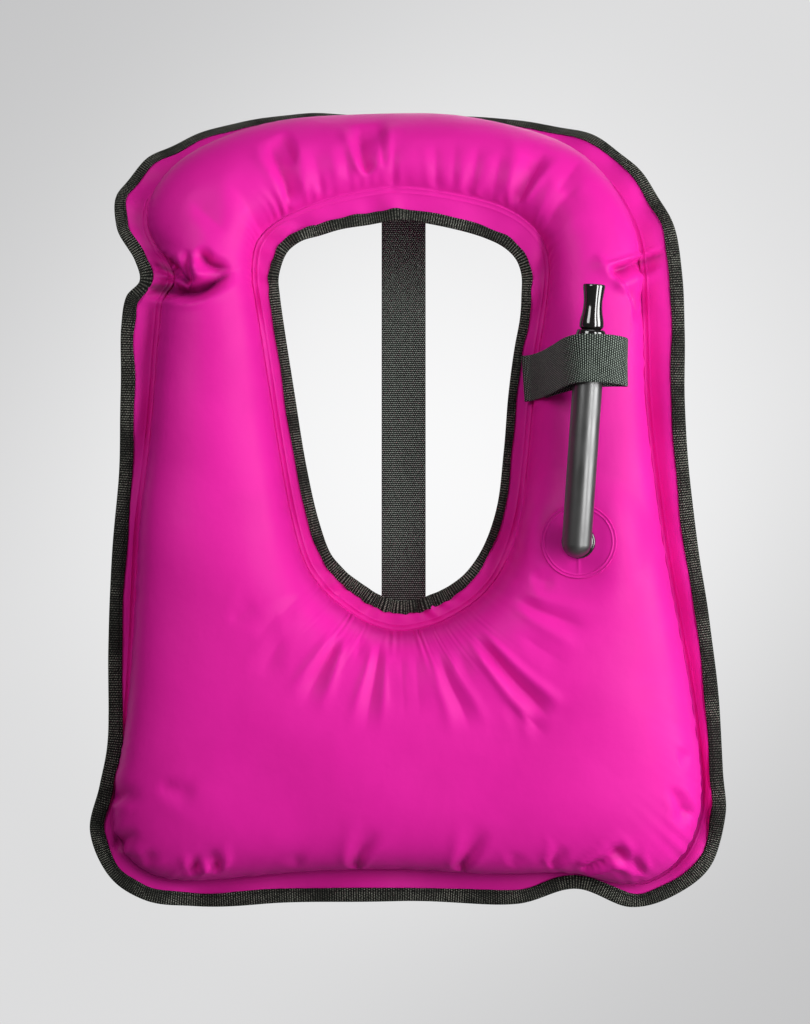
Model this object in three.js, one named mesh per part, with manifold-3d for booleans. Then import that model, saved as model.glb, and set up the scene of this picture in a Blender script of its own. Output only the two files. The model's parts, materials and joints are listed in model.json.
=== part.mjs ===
// Horse-collar inflatable life jacket for snorkelling: two coated-fabric panels welded into one
// air chamber round a neck opening, bound edges, an oral inflation hose and a back strap and belt.
// Millimetres, +Z up, -Y is the side that faces away from the wearer.
// The origin is the middle of the collar's inner edge, where the jacket hangs on the wearer's neck.

import * as THREE from "three";
import { mergeVertices } from "three/addons/utils/BufferGeometryUtils.js";
import Module from "manifold-3d";

const wasm = await Module();
wasm.setup();

// ---- driving dimensions -------------------------------------------------------------------

const FABRIC = 0.9; // coated nylon, as modelled
const GAP = 0.3; // between pieces that touch
const NECK_FLANGE = 20; // neck edge to neck weld
const OUTER_FLANGE = 27; // outer edge to outer weld
const BINDING = 10; // how far the folded tape reaches in from an edge
const TAPE = 0.9; // binding tape thickness
const EDGE_INSET = 2; // fabric edge inside the tape's fold
const FULL_DEPTH = 55; // deepest front bulge of a very wide cell
const DEPTH_REACH = 80; // cell width at which the bulge nears its full depth
const BACK_SHARE = 0.9; // back bulge as a share of the front one

const RIBS_PER_STATION = 1.5;
const BULGE_STEPS = 7;

const WEBBING = 32; // strap width
const WEBBING_T = 1.5; // strap thickness
const LAYER = 2; // from one strap layer's middle to the next one's, where two lie together
const BELT_Z = -362; // height of the waist belt's middle
const BELT_Y = 53.5; // the belt's middle, where it lies on the back panel's crown

const HOSE_R = 10;
const HOSE_BORE_R = 6.6;
const HOSE_TOP = 126; // hose length above the elbow's centre
const ELBOW_AT = new THREE.Vector3(116.3, -66.5, -220.3); // where hose axis and flange axis cross
const HOSE_TILT = 3.7; // degrees to the side
const FLANGE_TURN = 9; // degrees that the flange axis is turned from +Y
const FLANGE_R = 11.5;
const SPIGOT_R = 5; // valve flange's tube through the front panel
const PATCH_R = 25.5;
const VALVE_SEAT = 120; // heights above the elbow's centre, along the hose
const LIP = 173.5;

const SOCKET_X = 50.6; // buckle socket's back end
const SOCKET_LENGTH = 40;
const BUCKLE_HALF = 21; // half its height, along Z
const BUCKLE_FRONT = 51; // nearest the back panel
const BUCKLE_T = 13;
const PRONG_HINGE_X = 88.4;
const PRONG_HINGE_Z = 11.5; // above and below the belt's middle

// Stations round the jacket, clockwise from the collar's top as seen from the front.
// Each holds the outer edge (x, y, z) and the neck edge (x, z); the neck edge lies at y = 0.
const STATIONS = [
  [0, 92, 80, 0, 0],
  [52, 84, 80, 30, -5],
  [96, 71, 75, 56, -12],
  [130, 58, 66, 70, -19],
  [158, 42, 47, 78, -27],
  [178, 24, 21, 82, -38],
  [190, 10, -8, 82, -52],
  [194, 2, -40, 81, -68],
  [195.5, 0, -80, 77, -90],
  [195.5, 0, -125, 73, -122],
  [199, 0, -175, 70, -160],
  [206, 0, -230, 65, -200],
  [214, 0, -280, 55, -229],
  [221, 0, -335, 43, -246],
  [224, 0, -385, 33, -254],
  [226, 0, -415, 26, -258],
  [217, 0, -451, 20, -260.5],
  [190, 0, -474, 15, -262.5],
  [160, 0, -482, 10, -264],
  [122, 0, -469, 6, -264.6],
  [80, 0, -480, 2, -265],
  [-3, 0, -478, -3.5, -265],
  [-85, 0, -479.5, -9, -264],
  [-147, 0, -482, -14, -262.5],
  [-183, 0, -477, -19, -260],
  [-207, 0, -461, -25, -256],
  [-221, 0, -428, -31, -252],
  [-214, 0, -396, -37, -247.5],
  [-208, 0, -365, -43, -242],
  [-207, 0, -300, -51, -232],
  [-204, 0, -235, -59, -210],
  [-199, 0, -175, -68, -170],
  [-197, 0, -120, -76, -120],
  [-196.5, 0, -75, -83, -75],
  [-193, 0, -53, -86, -52],
  [-184, 2, -42, -87, -42],
  [-188, 6, -27, -86, -35],
  [-201, 14, -5, -83, -26],
  [-202, 26, 19, -79, -20],
  [-184, 40, 44, -70, -14],
  [-155, 54, 61, -58, -10.5],
  [-118, 68, 75, -42, -6],
  [-77, 78, 82, -26, -3.5],
  [-38, 87, 82, -12, -1],
];

// ---- materials ----------------------------------------------------------------------------

const shell = new THREE.MeshStandardMaterial({ color: 0xe61e9b, roughness: 0.45 });
const tape = new THREE.MeshStandardMaterial({ color: 0x23261f, roughness: 0.85 });
const webbing = new THREE.MeshStandardMaterial({ color: 0x2a302c, roughness: 0.8 });
const rubber = new THREE.MeshStandardMaterial({ color: 0x3a3c3a, roughness: 0.4 });
const gloss = new THREE.MeshStandardMaterial({ color: 0x1a1a18, roughness: 0.12 });
const plastic = new THREE.MeshStandardMaterial({ color: 0x202220, roughness: 0.5 });
const flexiblePvc = new THREE.MeshStandardMaterial({ color: 0xd8268f, roughness: 0.5 });
const steel = new THREE.MeshStandardMaterial({ color: 0xb8bcc0, roughness: 0.3, metalness: 1 });

const jacket = new THREE.Group();
const inflator = new THREE.Group();
const buckle = new THREE.Group();

function place(parent, name, geometry, material) {
  const mesh = new THREE.Mesh(geometry, material);
  mesh.name = name;
  parent.add(mesh);
  return mesh;
}

// ---- geometry helpers ---------------------------------------------------------------------

// Joins equal sections, each a closed loop of points, into one surface. A closed loft runs back to
// its first section, and an open one gets a flat cap at each end, fanned from the cap's first point.
function loft(sections, closed) {
  const sides = sections[0].length;
  const position = sections.flat().flatMap((p) => [p.x, p.y, p.z]);
  const index = [];
  const spans = closed ? sections.length : sections.length - 1;
  for (let i = 0; i < spans; i++) {
    const here = i * sides;
    const next = ((i + 1) % sections.length) * sides;
    for (let j = 0; j < sides; j++) {
      const k = (j + 1) % sides;
      index.push(here + j, here + k, next + k, here + j, next + k, next + j);
    }
  }
  if (!closed) {
    const last = (sections.length - 1) * sides;
    for (let j = 1; j < sides - 1; j++) {
      index.push(0, j + 1, j, last, last + j, last + j + 1);
    }
  }
  const geometry = new THREE.BufferGeometry();
  geometry.setAttribute("position", new THREE.Float32BufferAttribute(position, 3));
  geometry.setIndex(index);
  return facingOut(geometry);
}

function toSolid(geometry) {
  const bare = geometry.clone();
  bare.deleteAttribute("normal");
  bare.deleteAttribute("uv");
  const merged = mergeVertices(bare, 1e-4);
  return new wasm.Manifold(
    new wasm.Mesh({
      numProp: 3,
      vertProperties: new Float32Array(merged.attributes.position.array),
      triVerts: new Uint32Array(merged.index.array),
    }),
  );
}

function toGeometry(solid) {
  const mesh = solid.getMesh();
  const geometry = new THREE.BufferGeometry();
  geometry.setAttribute("position", new THREE.BufferAttribute(new Float32Array(mesh.vertProperties), 3));
  geometry.setIndex(new THREE.BufferAttribute(new Uint32Array(mesh.triVerts), 1));
  return geometry;
}

// Turns every face round if the surface encloses a negative volume.
function facingOut(geometry) {
  const p = geometry.attributes.position;
  const ids = geometry.index.array;
  const [a, b, c] = [new THREE.Vector3(), new THREE.Vector3(), new THREE.Vector3()];
  let volume = 0;
  for (let i = 0; i < ids.length; i += 3) {
    a.fromBufferAttribute(p, ids[i]);
    b.fromBufferAttribute(p, ids[i + 1]);
    c.fromBufferAttribute(p, ids[i + 2]);
    volume += a.dot(b.cross(c));
  }
  if (volume < 0) {
    for (let i = 0; i < ids.length; i += 3) {
      [ids[i + 1], ids[i + 2]] = [ids[i + 2], ids[i + 1]];
    }
  }
  return geometry;
}

function combine(base, { add = [], cut = [] }) {
  let solid = toSolid(base);
  for (const piece of add) solid = solid.add(toSolid(piece));
  for (const tool of cut) solid = solid.subtract(toSolid(tool));
  return toGeometry(solid);
}

// A solid of revolution about +Z from a closed profile of [radius, height] points.
function turned(profile, segments = 24) {
  const points = [...profile, profile[0]].map(([r, z]) => new THREE.Vector2(r, z));
  return facingOut(mergedLathe(new THREE.LatheGeometry(points, segments).rotateX(Math.PI / 2)));
}

function mergedLathe(geometry) {
  geometry.deleteAttribute("normal");
  geometry.deleteAttribute("uv");
  return mergeVertices(geometry, 1e-4);
}

function rod(radius, from, to, segments = 24) {
  return new THREE.CylinderGeometry(radius, radius, to - from, segments)
    .rotateX(Math.PI / 2)
    .translate(0, 0, (from + to) / 2);
}

function block(x0, x1, y0, y1, z0, z1) {
  return new THREE.BoxGeometry(x1 - x0, y1 - y0, z1 - z0).translate(
    (x0 + x1) / 2,
    (y0 + y1) / 2,
    (z0 + z1) / 2,
  );
}

// A flat strap along a smooth path. across is the direction of the strap's width.
function strap(points, across, width, thickness, steps) {
  const curve = new THREE.CatmullRomCurve3(points, false, "centripetal");
  const sections = [];
  for (let i = 0; i <= steps; i++) {
    const at = curve.getPoint(i / steps);
    const along = curve.getTangent(i / steps);
    const side = across.clone().addScaledVector(along, -across.dot(along)).normalize();
    const out = new THREE.Vector3().crossVectors(along, side);
    const corner = (s, o) =>
      at.clone().addScaledVector(side, (s * width) / 2).addScaledVector(out, (o * thickness) / 2);
    sections.push([corner(-1, -1), corner(1, -1), corner(1, 1), corner(-1, 1)]);
  }
  return loft(sections, false);
}

// ---- the air chamber's ribs ---------------------------------------------------------------

const outerEdge = new THREE.CatmullRomCurve3(
  STATIONS.map(([x, y, z]) => new THREE.Vector3(x, y, z)),
  true,
  "centripetal",
);
const neckEdge = new THREE.CatmullRomCurve3(
  STATIONS.map(([, , , x, z]) => new THREE.Vector3(x, 0, z)),
  true,
  "centripetal",
);

// One rib: the four corners of the section at share t of the way round, and its front normal.
function ribAt(t) {
  const neck = neckEdge.getPoint(t);
  const outer = outerEdge.getPoint(t);
  const upright = new THREE.Vector3(outer.x - neck.x, 0, outer.z - neck.z).normalize();
  const neckWeld = neck.clone().addScaledVector(upright, NECK_FLANGE);
  const outward = outer.clone().sub(neckWeld).normalize();
  const outerWeld = outer.clone().addScaledVector(outward, -OUTER_FLANGE);
  const round = outerEdge.getTangent(t).add(neckEdge.getTangent(t));
  const front = new THREE.Vector3().crossVectors(round, outward).normalize();
  if (front.y > 0 || (front.y > -0.2 && front.z < 0)) front.negate();
  const neckFront = new THREE.Vector3(0, -1, 0);
  const cell = outerWeld.distanceTo(neckWeld);
  return {
    neck,
    outer,
    upright,
    neckWeld,
    outerWeld,
    outward,
    front,
    neckFront,
    cell,
    depth: FULL_DEPTH * Math.tanh(cell / DEPTH_REACH),
  };
}

// A point on the chamber's skin: share s from neck weld to outer weld, side +1 front or -1 back.
function skinPoint(rib, s, side, lift) {
  const depth = rib.depth * (side > 0 ? 1 : BACK_SHARE) + lift;
  const half = rib.cell / 2;
  const angle = Math.PI * s;
  return rib.neckWeld
    .clone()
    .addScaledVector(rib.outward, half - (half + lift * Math.abs(Math.cos(angle))) * Math.cos(angle))
    .addScaledVector(rib.front, side * (depth * Math.sin(angle) + (GAP / 2) * (1 - Math.sin(angle))));
}

const ribCount = Math.round(STATIONS.length * RIBS_PER_STATION);
const ribs = Array.from({ length: ribCount }, (_, i) => ribAt(i / ribCount));

// A fine grid of front skin points over the stations that the valve patch covers.
const SKIN_ROWS = 120;
const SKIN_COLUMNS = 60;
const SKIN_FROM = 0.08; // shares of the way round the jacket
const SKIN_TO = 0.38;
const skinGrid = Array.from({ length: SKIN_ROWS }, (_, i) => {
  const rib = ribAt(SKIN_FROM + ((SKIN_TO - SKIN_FROM) * i) / SKIN_ROWS);
  return Array.from({ length: SKIN_COLUMNS }, (_, j) => skinPoint(rib, j / (SKIN_COLUMNS - 1), 1, 0));
});

// The front skin's y at (x, z), on the plane through the nearest grid point and two neighbours.
function frontSkinY(x, z) {
  let best = { distance: Infinity };
  for (let i = 1; i < SKIN_ROWS; i++) {
    for (let j = 1; j < SKIN_COLUMNS; j++) {
      const p = skinGrid[i][j];
      const distance = Math.hypot(p.x - x, p.z - z);
      if (distance < best.distance) best = { distance, i, j };
    }
  }
  const at = skinGrid[best.i][best.j];
  const plane = new THREE.Plane().setFromCoplanarPoints(
    at,
    skinGrid[best.i - 1][best.j],
    skinGrid[best.i][best.j - 1],
  );
  return -(plane.constant + plane.normal.x * x + plane.normal.z * z) / plane.normal.y;
}

// ---- panels and bindings ------------------------------------------------------------------

function panel(side) {
  const sections = ribs.map((rib) => {
    const flangePoint = (from, direction, normal, along, lift) =>
      from.clone().addScaledVector(direction, along).addScaledVector(normal, side * (GAP / 2 + lift));
    const layer = (lift) => {
      const line = [flangePoint(rib.neck, rib.upright, rib.neckFront, EDGE_INSET, lift)];
      for (let j = 0; j <= BULGE_STEPS; j++) {
        const s = j / BULGE_STEPS;
        if (j === 0 || j === BULGE_STEPS) {
          const at = j === 0 ? rib.neckWeld : rib.outerWeld;
          const normal = j === 0 ? rib.front.clone().add(rib.neckFront).normalize() : rib.front;
          line.push(flangePoint(at, rib.outward, normal, 0, lift));
        } else {
          line.push(skinPoint(rib, s, side, lift - FABRIC));
        }
      }
      line.push(flangePoint(rib.outer, rib.outward, rib.front, -EDGE_INSET, lift));
      return line;
    };
    return [...layer(0), ...layer(FABRIC).reverse()];
  });
  return loft(sections, true);
}

// The folded tape over an edge: a U whose legs reach in from the edge on both faces.
function binding(edgeOf, outwardOf, normalOf) {
  const inside = GAP / 2 + FABRIC + 2 * GAP;
  const outside = inside + TAPE;
  const profile = [
    [-BINDING, inside],
    [-EDGE_INSET + GAP, inside],
    [-EDGE_INSET + GAP, -inside],
    [-BINDING, -inside],
    [-BINDING, -outside],
    [0, -outside],
    [0, outside],
    [-BINDING, outside],
  ];
  const sections = ribs.map((rib) =>
    profile.map(([along, up]) =>
      edgeOf(rib).clone().addScaledVector(outwardOf(rib), along).addScaledVector(normalOf(rib), up),
    ),
  );
  return loft(sections, true);
}

// ---- inflator frame: X sideways, Y towards the jacket, Z up the hose --------------------------

function rad(degrees) {
  return (degrees * Math.PI) / 180;
}

const hoseAxis = new THREE.Vector3(Math.sin(rad(HOSE_TILT)), 0, Math.cos(rad(HOSE_TILT)));
const toPanel = new THREE.Vector3(Math.sin(rad(FLANGE_TURN)), Math.cos(rad(FLANGE_TURN)), 0);
toPanel.addScaledVector(hoseAxis, -toPanel.dot(hoseAxis)).normalize();
const sideways = new THREE.Vector3().crossVectors(toPanel, hoseAxis);
const inflatorFrame = new THREE.Matrix4().makeBasis(sideways, toPanel, hoseAxis).setPosition(ELBOW_AT);
inflator.applyMatrix4(inflatorFrame);

// A shape made about +Z, turned to stand along the flange's axis.
const alongFlange = (geometry) => geometry.rotateX(-Math.PI / 2);

// ---- valve patch and flange ---------------------------------------------------------------

// A washer that follows the front panel round the flange's axis, lift clear of the panel's outside.
function panelWasher(innerR, outerR, lift, thickness) {
  const turns = 24;
  const rings = 4;
  const centre = new THREE.Vector3(0, 20, 0).applyMatrix4(inflatorFrame);
  const sections = [];
  for (let i = 0; i < turns; i++) {
    const angle = (2 * Math.PI * i) / turns;
    const outside = [];
    const inside = [];
    for (let j = 0; j < rings; j++) {
      const r = innerR + ((outerR - innerR) * j) / (rings - 1);
      const x = centre.x + r * Math.cos(angle);
      const z = centre.z + r * Math.sin(angle);
      const y = frontSkinY(x, z) - lift;
      inside.push(new THREE.Vector3(x, y, z));
      outside.push(new THREE.Vector3(x, y - thickness, z));
    }
    sections.push([...inside, ...outside.reverse()]);
  }
  return loft(sections, true);
}

function valveFlange() {
  return alongFlange(
    turned([
      [2, 7.2],
      [3.3, 7.2],
      [3.3, 12.3],
      [FLANGE_R - 0.9, 12.3],
      [FLANGE_R, 13.2],
      [FLANGE_R, 16.6],
      [SPIGOT_R, 16.6],
      [SPIGOT_R, 27],
      [2, 27],
    ], 32),
  );
}

function swivelSeal() {
  return alongFlange(
    turned([
      [4.4, 10.6],
      [7.6, 10.6],
      [7.6, 12],
      [4.4, 12],
    ]),
  );
}

// ---- hose and oral valve ------------------------------------------------------------------

function hose() {
  const dome = new THREE.SphereGeometry(HOSE_R, 28, 14);
  const tube = rod(HOSE_R, 0, HOSE_TOP, 28);
  const neck = alongFlange(rod(8, 0, 10.3, 24));
  const bore = rod(HOSE_BORE_R, 0, HOSE_TOP + 1, 20);
  const boreEnd = new THREE.SphereGeometry(HOSE_BORE_R, 20, 10);
  const outlet = alongFlange(rod(3.6, 0, 12, 20));
  return combine(dome, { add: [tube, neck], cut: [bore, boreEnd, outlet] });
}

function valveBody() {
  return turned([
    [5.3, 106],
    [6.3, 106],
    [6.3, 126.3],
    [HOSE_R, 126.3],
    [HOSE_R, 135.6],
    [HOSE_R - 0.5, 136.1],
    [8.2, 136.1],
    [8.2, 139.2],
    [6.6, 139.2],
    [6.6, VALVE_SEAT + 3],
    [3, VALVE_SEAT + 3],
    [3, VALVE_SEAT],
    [5.3, VALVE_SEAT],
  ]);
}

function lockRing() {
  return turned([
    [8.5, 136.4],
    [9.6, 136.4],
    [9.95, 137.2],
    [9.95, 140.2],
    [9.7, 141.6],
    [9.2, 142.7],
    [8.5, 143.2],
  ], 32);
}

function mouthpiece() {
  const outer = [
    [6.3, 134.3],
    [6.3, 143.5],
    [7.4, 143.9],
    [8.1, 145],
    [8.25, 147],
    [7.9, 149.5],
    [6.9, 154],
    [6.35, 158.5],
    [6.3, 162],
    [6.7, 166.5],
    [7.3, 170.5],
    [7.5, 172.2],
    [7.2, 173.2],
    [6.6, LIP],
    [5, LIP],
    [4.2, 172.7],
    [4.2, 136.8],
    [1.9, 136.8],
    [1.9, 134.3],
  ];
  const airHoles = [45, 135, 225, 315].map((angle) =>
    rod(0.9, 130, 140, 10).translate(3.1 * Math.cos(rad(angle)), 3.1 * Math.sin(rad(angle)), 0),
  );
  return combine(turned(outer, 20), { cut: airHoles });
}

function valveStem() {
  return turned([
    [0, 113.9],
    [2.8, 113.9],
    [2.8, 115.5],
    [1.6, 115.5],
    [1.6, 137.1],
    [2.6, 137.1],
    [2.6, 138.6],
    [0, 138.6],
  ], 16);
}

function valveDisc() {
  return turned([
    [1.9, 115.8],
    [4.8, 115.8],
    [4.8, 118],
    [1.9, 118],
  ], 20);
}

function valveORing() {
  return facingOut(mergedLathe(new THREE.TorusGeometry(3.9, 0.7, 8, 20).translate(0, 0, 119)));
}

function valveSpring() {
  const [low, high, radius, turns, wire] = [VALVE_SEAT + 3.9, 133.4, 4.6, 4.5, 0.5];
  class Helix extends THREE.Curve {
    getPoint(t) {
      const angle = 2 * Math.PI * turns * t;
      return new THREE.Vector3(radius * Math.cos(angle), radius * Math.sin(angle), low + (high - low) * t);
    }
  }
  const corners = Array.from({ length: 6 }, (_, i) => rad(60 * i));
  const outline = corners.map((a) => new THREE.Vector2(wire * Math.cos(a), wire * Math.sin(a)));
  const section = new THREE.Shape(outline);
  const wireShape = new THREE.ExtrudeGeometry(section, { steps: 54, extrudePath: new Helix() });
  return facingOut(mergedLathe(wireShape));
}

// ---- straps -------------------------------------------------------------------------------

const UP = new THREE.Vector3(0, 0, 1);
const SIDE = new THREE.Vector3(1, 0, 0);

// The loop that holds the hose: sewn at the neck's edge, over the hose and back behind it.
function hoseKeeper() {
  const route = [
    [87.5, -4.5, -108.5],
    [91, -16, -108.5],
    [96, -33, -106.5],
    [102.5, -54, -102.5],
    [109, -71, -98.5],
    [117, -79, -96.5],
    [130, -80.5, -96.5],
    [141, -78, -97.5],
    [148, -72, -99],
    [149.5, -65, -99.5],
    [146, -59.5, -99.5],
    [137, -55.5, -99.5],
    [124, -51.5, -100.5],
    [111, -44.5, -102.5],
    [102.3, -34, -105.5],
    [97, -22, -107.5],
    [93, -9, -108.5],
    [90.5, -4.5, -108.5],
  ].map(([x, y, z]) => new THREE.Vector3(x, y, z));
  return strap(route, UP, WEBBING, 1.3, 56);
}

// From the collar's rear edge straight down the back, round the belt and up inside it.
function backStrap() {
  const route = [
    [93.5, 76.9],
    [86, 71.5],
    [81, 66],
    [79.8, 58],
    [79, 46],
    [66, -140],
    [55.5, -290],
    [54, -328],
    [54.4, -336],
    [55.5, -344],
    [BELT_Y + LAYER, BELT_Z],
    [BELT_Y + LAYER, BELT_Z - 15.5],
    [BELT_Y + 1.5, BELT_Z - 18],
    [BELT_Y, BELT_Z - 18.9],
    [BELT_Y - 1.5, BELT_Z - 18],
    [BELT_Y - LAYER + 0.1, BELT_Z - 15.5],
    [BELT_Y - LAYER + 0.1, BELT_Z],
    [BELT_Y - LAYER + 0.1, -330],
  ].map(([y, z]) => new THREE.Vector3(0, y, z));
  return strap(route, SIDE, WEBBING, WEBBING_T, 80);
}

const beltPoint = ([x, y]) => new THREE.Vector3(x, y, BELT_Z);

// Sewn to the left side, across the back to the socket's bar, and back onto itself.
function beltLeft() {
  const bar = { x: 46, y: 56.4 };
  const route = [
    [-207.5, 3.9],
    [-203, 9],
    [-197.5, 21],
    [-187, 35.5],
    [-170, 46.5],
    [-150, 51.3],
    [-128, 53.3],
    [-100, BELT_Y],
    [30, BELT_Y],
    [bar.x - 1, bar.y - 2.9],
    [bar.x + 2, bar.y - 2.3],
    [bar.x + 3.2, bar.y],
    [bar.x + 2, bar.y + 2.3],
    [bar.x - 1, bar.y + 2.8],
    [bar.x - 6, BELT_Y + 3.4],
    [bar.x - 11, BELT_Y + LAYER],
    [21, BELT_Y + LAYER],
  ];
  return strap(route.map(beltPoint), UP, WEBBING, WEBBING_T, 80);
}

// Sewn to the right side, round the plug's bars, with its free tail back over itself.
function beltRight() {
  const slot = 95.4;
  const route = [
    [217.5, 3.9],
    [212.5, 10],
    [205, 23],
    [192, 37],
    [173, 47.5],
    [153, 51.8],
    [138, 53.3],
    [118, BELT_Y],
    [slot + 4, BELT_Y],
    [slot + 1, 53.9],
    [slot, 55.5],
    [slot, 58.5],
    [slot + 1, 60.2],
    [slot + 3.5, 60.8],
    [slot + 10, 60.8],
    [slot + 13.2, 59.9],
    [slot + 17.5, 56.8],
    [slot + 21, BELT_Y + LAYER],
    [138, BELT_Y + LAYER - 0.1],
    [154, 53.7],
    [166, 51.5],
  ];
  return strap(route.map(beltPoint), UP, WEBBING, WEBBING_T, 96);
}

// An elastic band round the belt and its tail.
function tailKeeper() {
  const [x0, x1] = [118, 128];
  const half = WEBBING / 2;
  const outside = block(x0, x1, BELT_Y - 2.2, BELT_Y + 4.2, BELT_Z - half - 1.4, BELT_Z + half + 1.4);
  const inside = block(0, 200, BELT_Y - 1.2, BELT_Y + 3.2, BELT_Z - half - 0.4, BELT_Z + half + 0.4);
  return combine(outside, { cut: [inside] });
}

// ---- side-release buckle ------------------------------------------------------------------

const SLOT_HALF = WEBBING / 2 + 1.2;

// A block given in the buckle's own heights, from the belt's middle.
function buckleBlock(x0, x1, y0, y1, z0, z1) {
  return block(x0, x1, y0, y1, BELT_Z + z0, BELT_Z + z1);
}

function buckleSocket() {
  const [front, back] = [BUCKLE_FRONT, BUCKLE_FRONT + BUCKLE_T];
  const end = SOCKET_X + SOCKET_LENGTH;
  const body = buckleBlock(SOCKET_X, end, front, back, -BUCKLE_HALF, BUCKLE_HALF);
  const frame = buckleBlock(SOCKET_X - 6.2, SOCKET_X + 1, 54.8, 58, -BUCKLE_HALF, BUCKLE_HALF);
  const webbingSlot = buckleBlock(SOCKET_X - 3, SOCKET_X, 50, 60, -SLOT_HALF, SLOT_HALF);
  const cavity = buckleBlock(SOCKET_X + 2.4, end + 1, front + 2.2, back - 2.2, -18.4, 18.4);
  const windows = buckleBlock(56, 73, front + 3, back - 3, -BUCKLE_HALF - 1, BUCKLE_HALF + 1);
  return combine(body, { add: [frame], cut: [webbingSlot, cavity, windows] });
}

function bucklePlug() {
  const start = SOCKET_X + SOCKET_LENGTH + 0.4;
  const plate = buckleBlock(start, start + 3, 53.4, 61.8, -20, 20);
  const tongue = buckleBlock(58, start + 1, 56, 59, -3, 3);
  const ladder = buckleBlock(start + 2, 107, 55.2, 59.4, -20, 20);
  const slots = [
    [94, 96.8],
    [100, 102.8],
  ].map(([x0, x1]) => buckleBlock(x0, x1, 50, 64, -SLOT_HALF, SLOT_HALF));
  return combine(plate, { add: [tongue, ladder], cut: slots });
}

// One springy arm of the plug, above (+1) or below (-1) the belt's middle.
function prong(side) {
  const outline = new THREE.Shape();
  outline.moveTo(PRONG_HINGE_X, PRONG_HINGE_Z - 2.3);
  outline.absarc(PRONG_HINGE_X, PRONG_HINGE_Z, 2.3, -Math.PI / 2, Math.PI / 2);
  outline.lineTo(72.4, 13.8);
  outline.lineTo(72, 19.6);
  outline.quadraticCurveTo(71.8, 20.6, 70.5, 20.6);
  outline.lineTo(62, 20.6);
  outline.quadraticCurveTo(58, 19.8, 54.5, 12);
  outline.quadraticCurveTo(54, 9, 56.5, 8.6);
  outline.lineTo(70, 10);
  const thickness = 6;
  const arm = new THREE.ExtrudeGeometry(outline, {
    depth: thickness,
    bevelEnabled: false,
    curveSegments: 8,
  });
  arm.rotateX(Math.PI / 2);
  arm.scale(1, 1, side);
  arm.translate(0, BUCKLE_FRONT + BUCKLE_T / 2 + thickness / 2, BELT_Z);
  return facingOut(mergedLathe(arm));
}

// ---- the assembly -------------------------------------------------------------------------

const spigotHole = alongFlange(rod(SPIGOT_R + 2 * GAP, 5, 40, 20)).applyMatrix4(inflatorFrame);
place(jacket, "front_panel", combine(panel(1), { cut: [spigotHole] }), shell);
place(jacket, "back_panel", panel(-1), shell);
const outerBinding = binding(
  (rib) => rib.outer,
  (rib) => rib.outward,
  (rib) => rib.front,
);
place(jacket, "outer_binding", outerBinding, tape);
const neckBinding = binding(
  (rib) => rib.neck,
  (rib) => rib.upright.clone().negate(),
  (rib) => rib.neckFront,
);
place(jacket, "neck_binding", neckBinding, tape);

place(jacket, "valve_patch", panelWasher(SPIGOT_R + 2 * GAP, PATCH_R, 0.7, 0.8), shell);
place(jacket, "flange_backing", panelWasher(SPIGOT_R + 2, 18, -FABRIC - 3, 1.2), flexiblePvc);
place(inflator, "valve_flange", valveFlange(), plastic);
place(inflator, "swivel_seal", swivelSeal(), rubber);
place(inflator, "inflator_hose", hose(), rubber);
place(inflator, "valve_body", valveBody(), plastic);
place(inflator, "lock_ring", lockRing(), gloss);
place(inflator, "mouthpiece", mouthpiece(), gloss);
place(inflator, "valve_stem", valveStem(), plastic);
place(inflator, "valve_disc", valveDisc(), rubber);
place(inflator, "valve_o_ring", valveORing(), rubber);
place(inflator, "valve_spring", valveSpring(), steel);
jacket.add(inflator);

place(jacket, "hose_keeper", hoseKeeper(), webbing);
place(jacket, "back_strap", backStrap(), webbing);
place(jacket, "belt_left", beltLeft(), webbing);
place(jacket, "belt_right", beltRight(), webbing);
place(jacket, "tail_keeper", tailKeeper(), webbing);

place(buckle, "buckle_socket", buckleSocket(), plastic);
place(buckle, "buckle_plug", bucklePlug(), plastic);
place(buckle, "buckle_prong_upper", prong(1), plastic);
place(buckle, "buckle_prong_lower", prong(-1), plastic);
jacket.add(buckle);

export default jacket;
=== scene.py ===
"""A horse-collar inflatable jacket for snorkelling: fabric, tape, webbing, hose and buckle looks.

Every size is in metres unless its name ends in _mm or _MM, or its text says mm. +Z is up and -Y
faces away from the wearer.
"""

import json
import logging
import math
from contextlib import contextmanager
from dataclasses import dataclass
from enum import Enum
from typing import Iterator, Sequence

import bmesh
import bpy
import numpy as np
from mathutils import Matrix, Vector
from mathutils.bvhtree import BVHTree

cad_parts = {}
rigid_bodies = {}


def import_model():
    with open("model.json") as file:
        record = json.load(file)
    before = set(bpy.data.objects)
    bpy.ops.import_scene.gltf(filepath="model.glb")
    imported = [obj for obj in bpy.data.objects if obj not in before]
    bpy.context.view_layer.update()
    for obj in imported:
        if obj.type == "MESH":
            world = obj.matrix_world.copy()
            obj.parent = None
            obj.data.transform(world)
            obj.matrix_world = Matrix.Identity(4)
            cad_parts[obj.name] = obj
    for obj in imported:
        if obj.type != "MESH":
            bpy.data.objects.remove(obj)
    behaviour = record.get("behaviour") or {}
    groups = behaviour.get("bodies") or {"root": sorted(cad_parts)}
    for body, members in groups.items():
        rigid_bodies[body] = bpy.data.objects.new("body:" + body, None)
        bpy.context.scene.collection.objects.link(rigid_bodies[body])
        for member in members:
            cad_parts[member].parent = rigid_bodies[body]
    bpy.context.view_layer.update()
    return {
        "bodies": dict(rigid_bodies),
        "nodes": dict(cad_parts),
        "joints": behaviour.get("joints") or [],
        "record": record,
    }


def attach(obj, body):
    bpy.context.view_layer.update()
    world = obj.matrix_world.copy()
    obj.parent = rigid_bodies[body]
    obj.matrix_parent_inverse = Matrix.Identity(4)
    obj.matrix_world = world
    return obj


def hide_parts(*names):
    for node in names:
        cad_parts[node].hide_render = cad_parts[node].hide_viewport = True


LOG = logging.getLogger("life_jacket")
MM = 0.001
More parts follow.
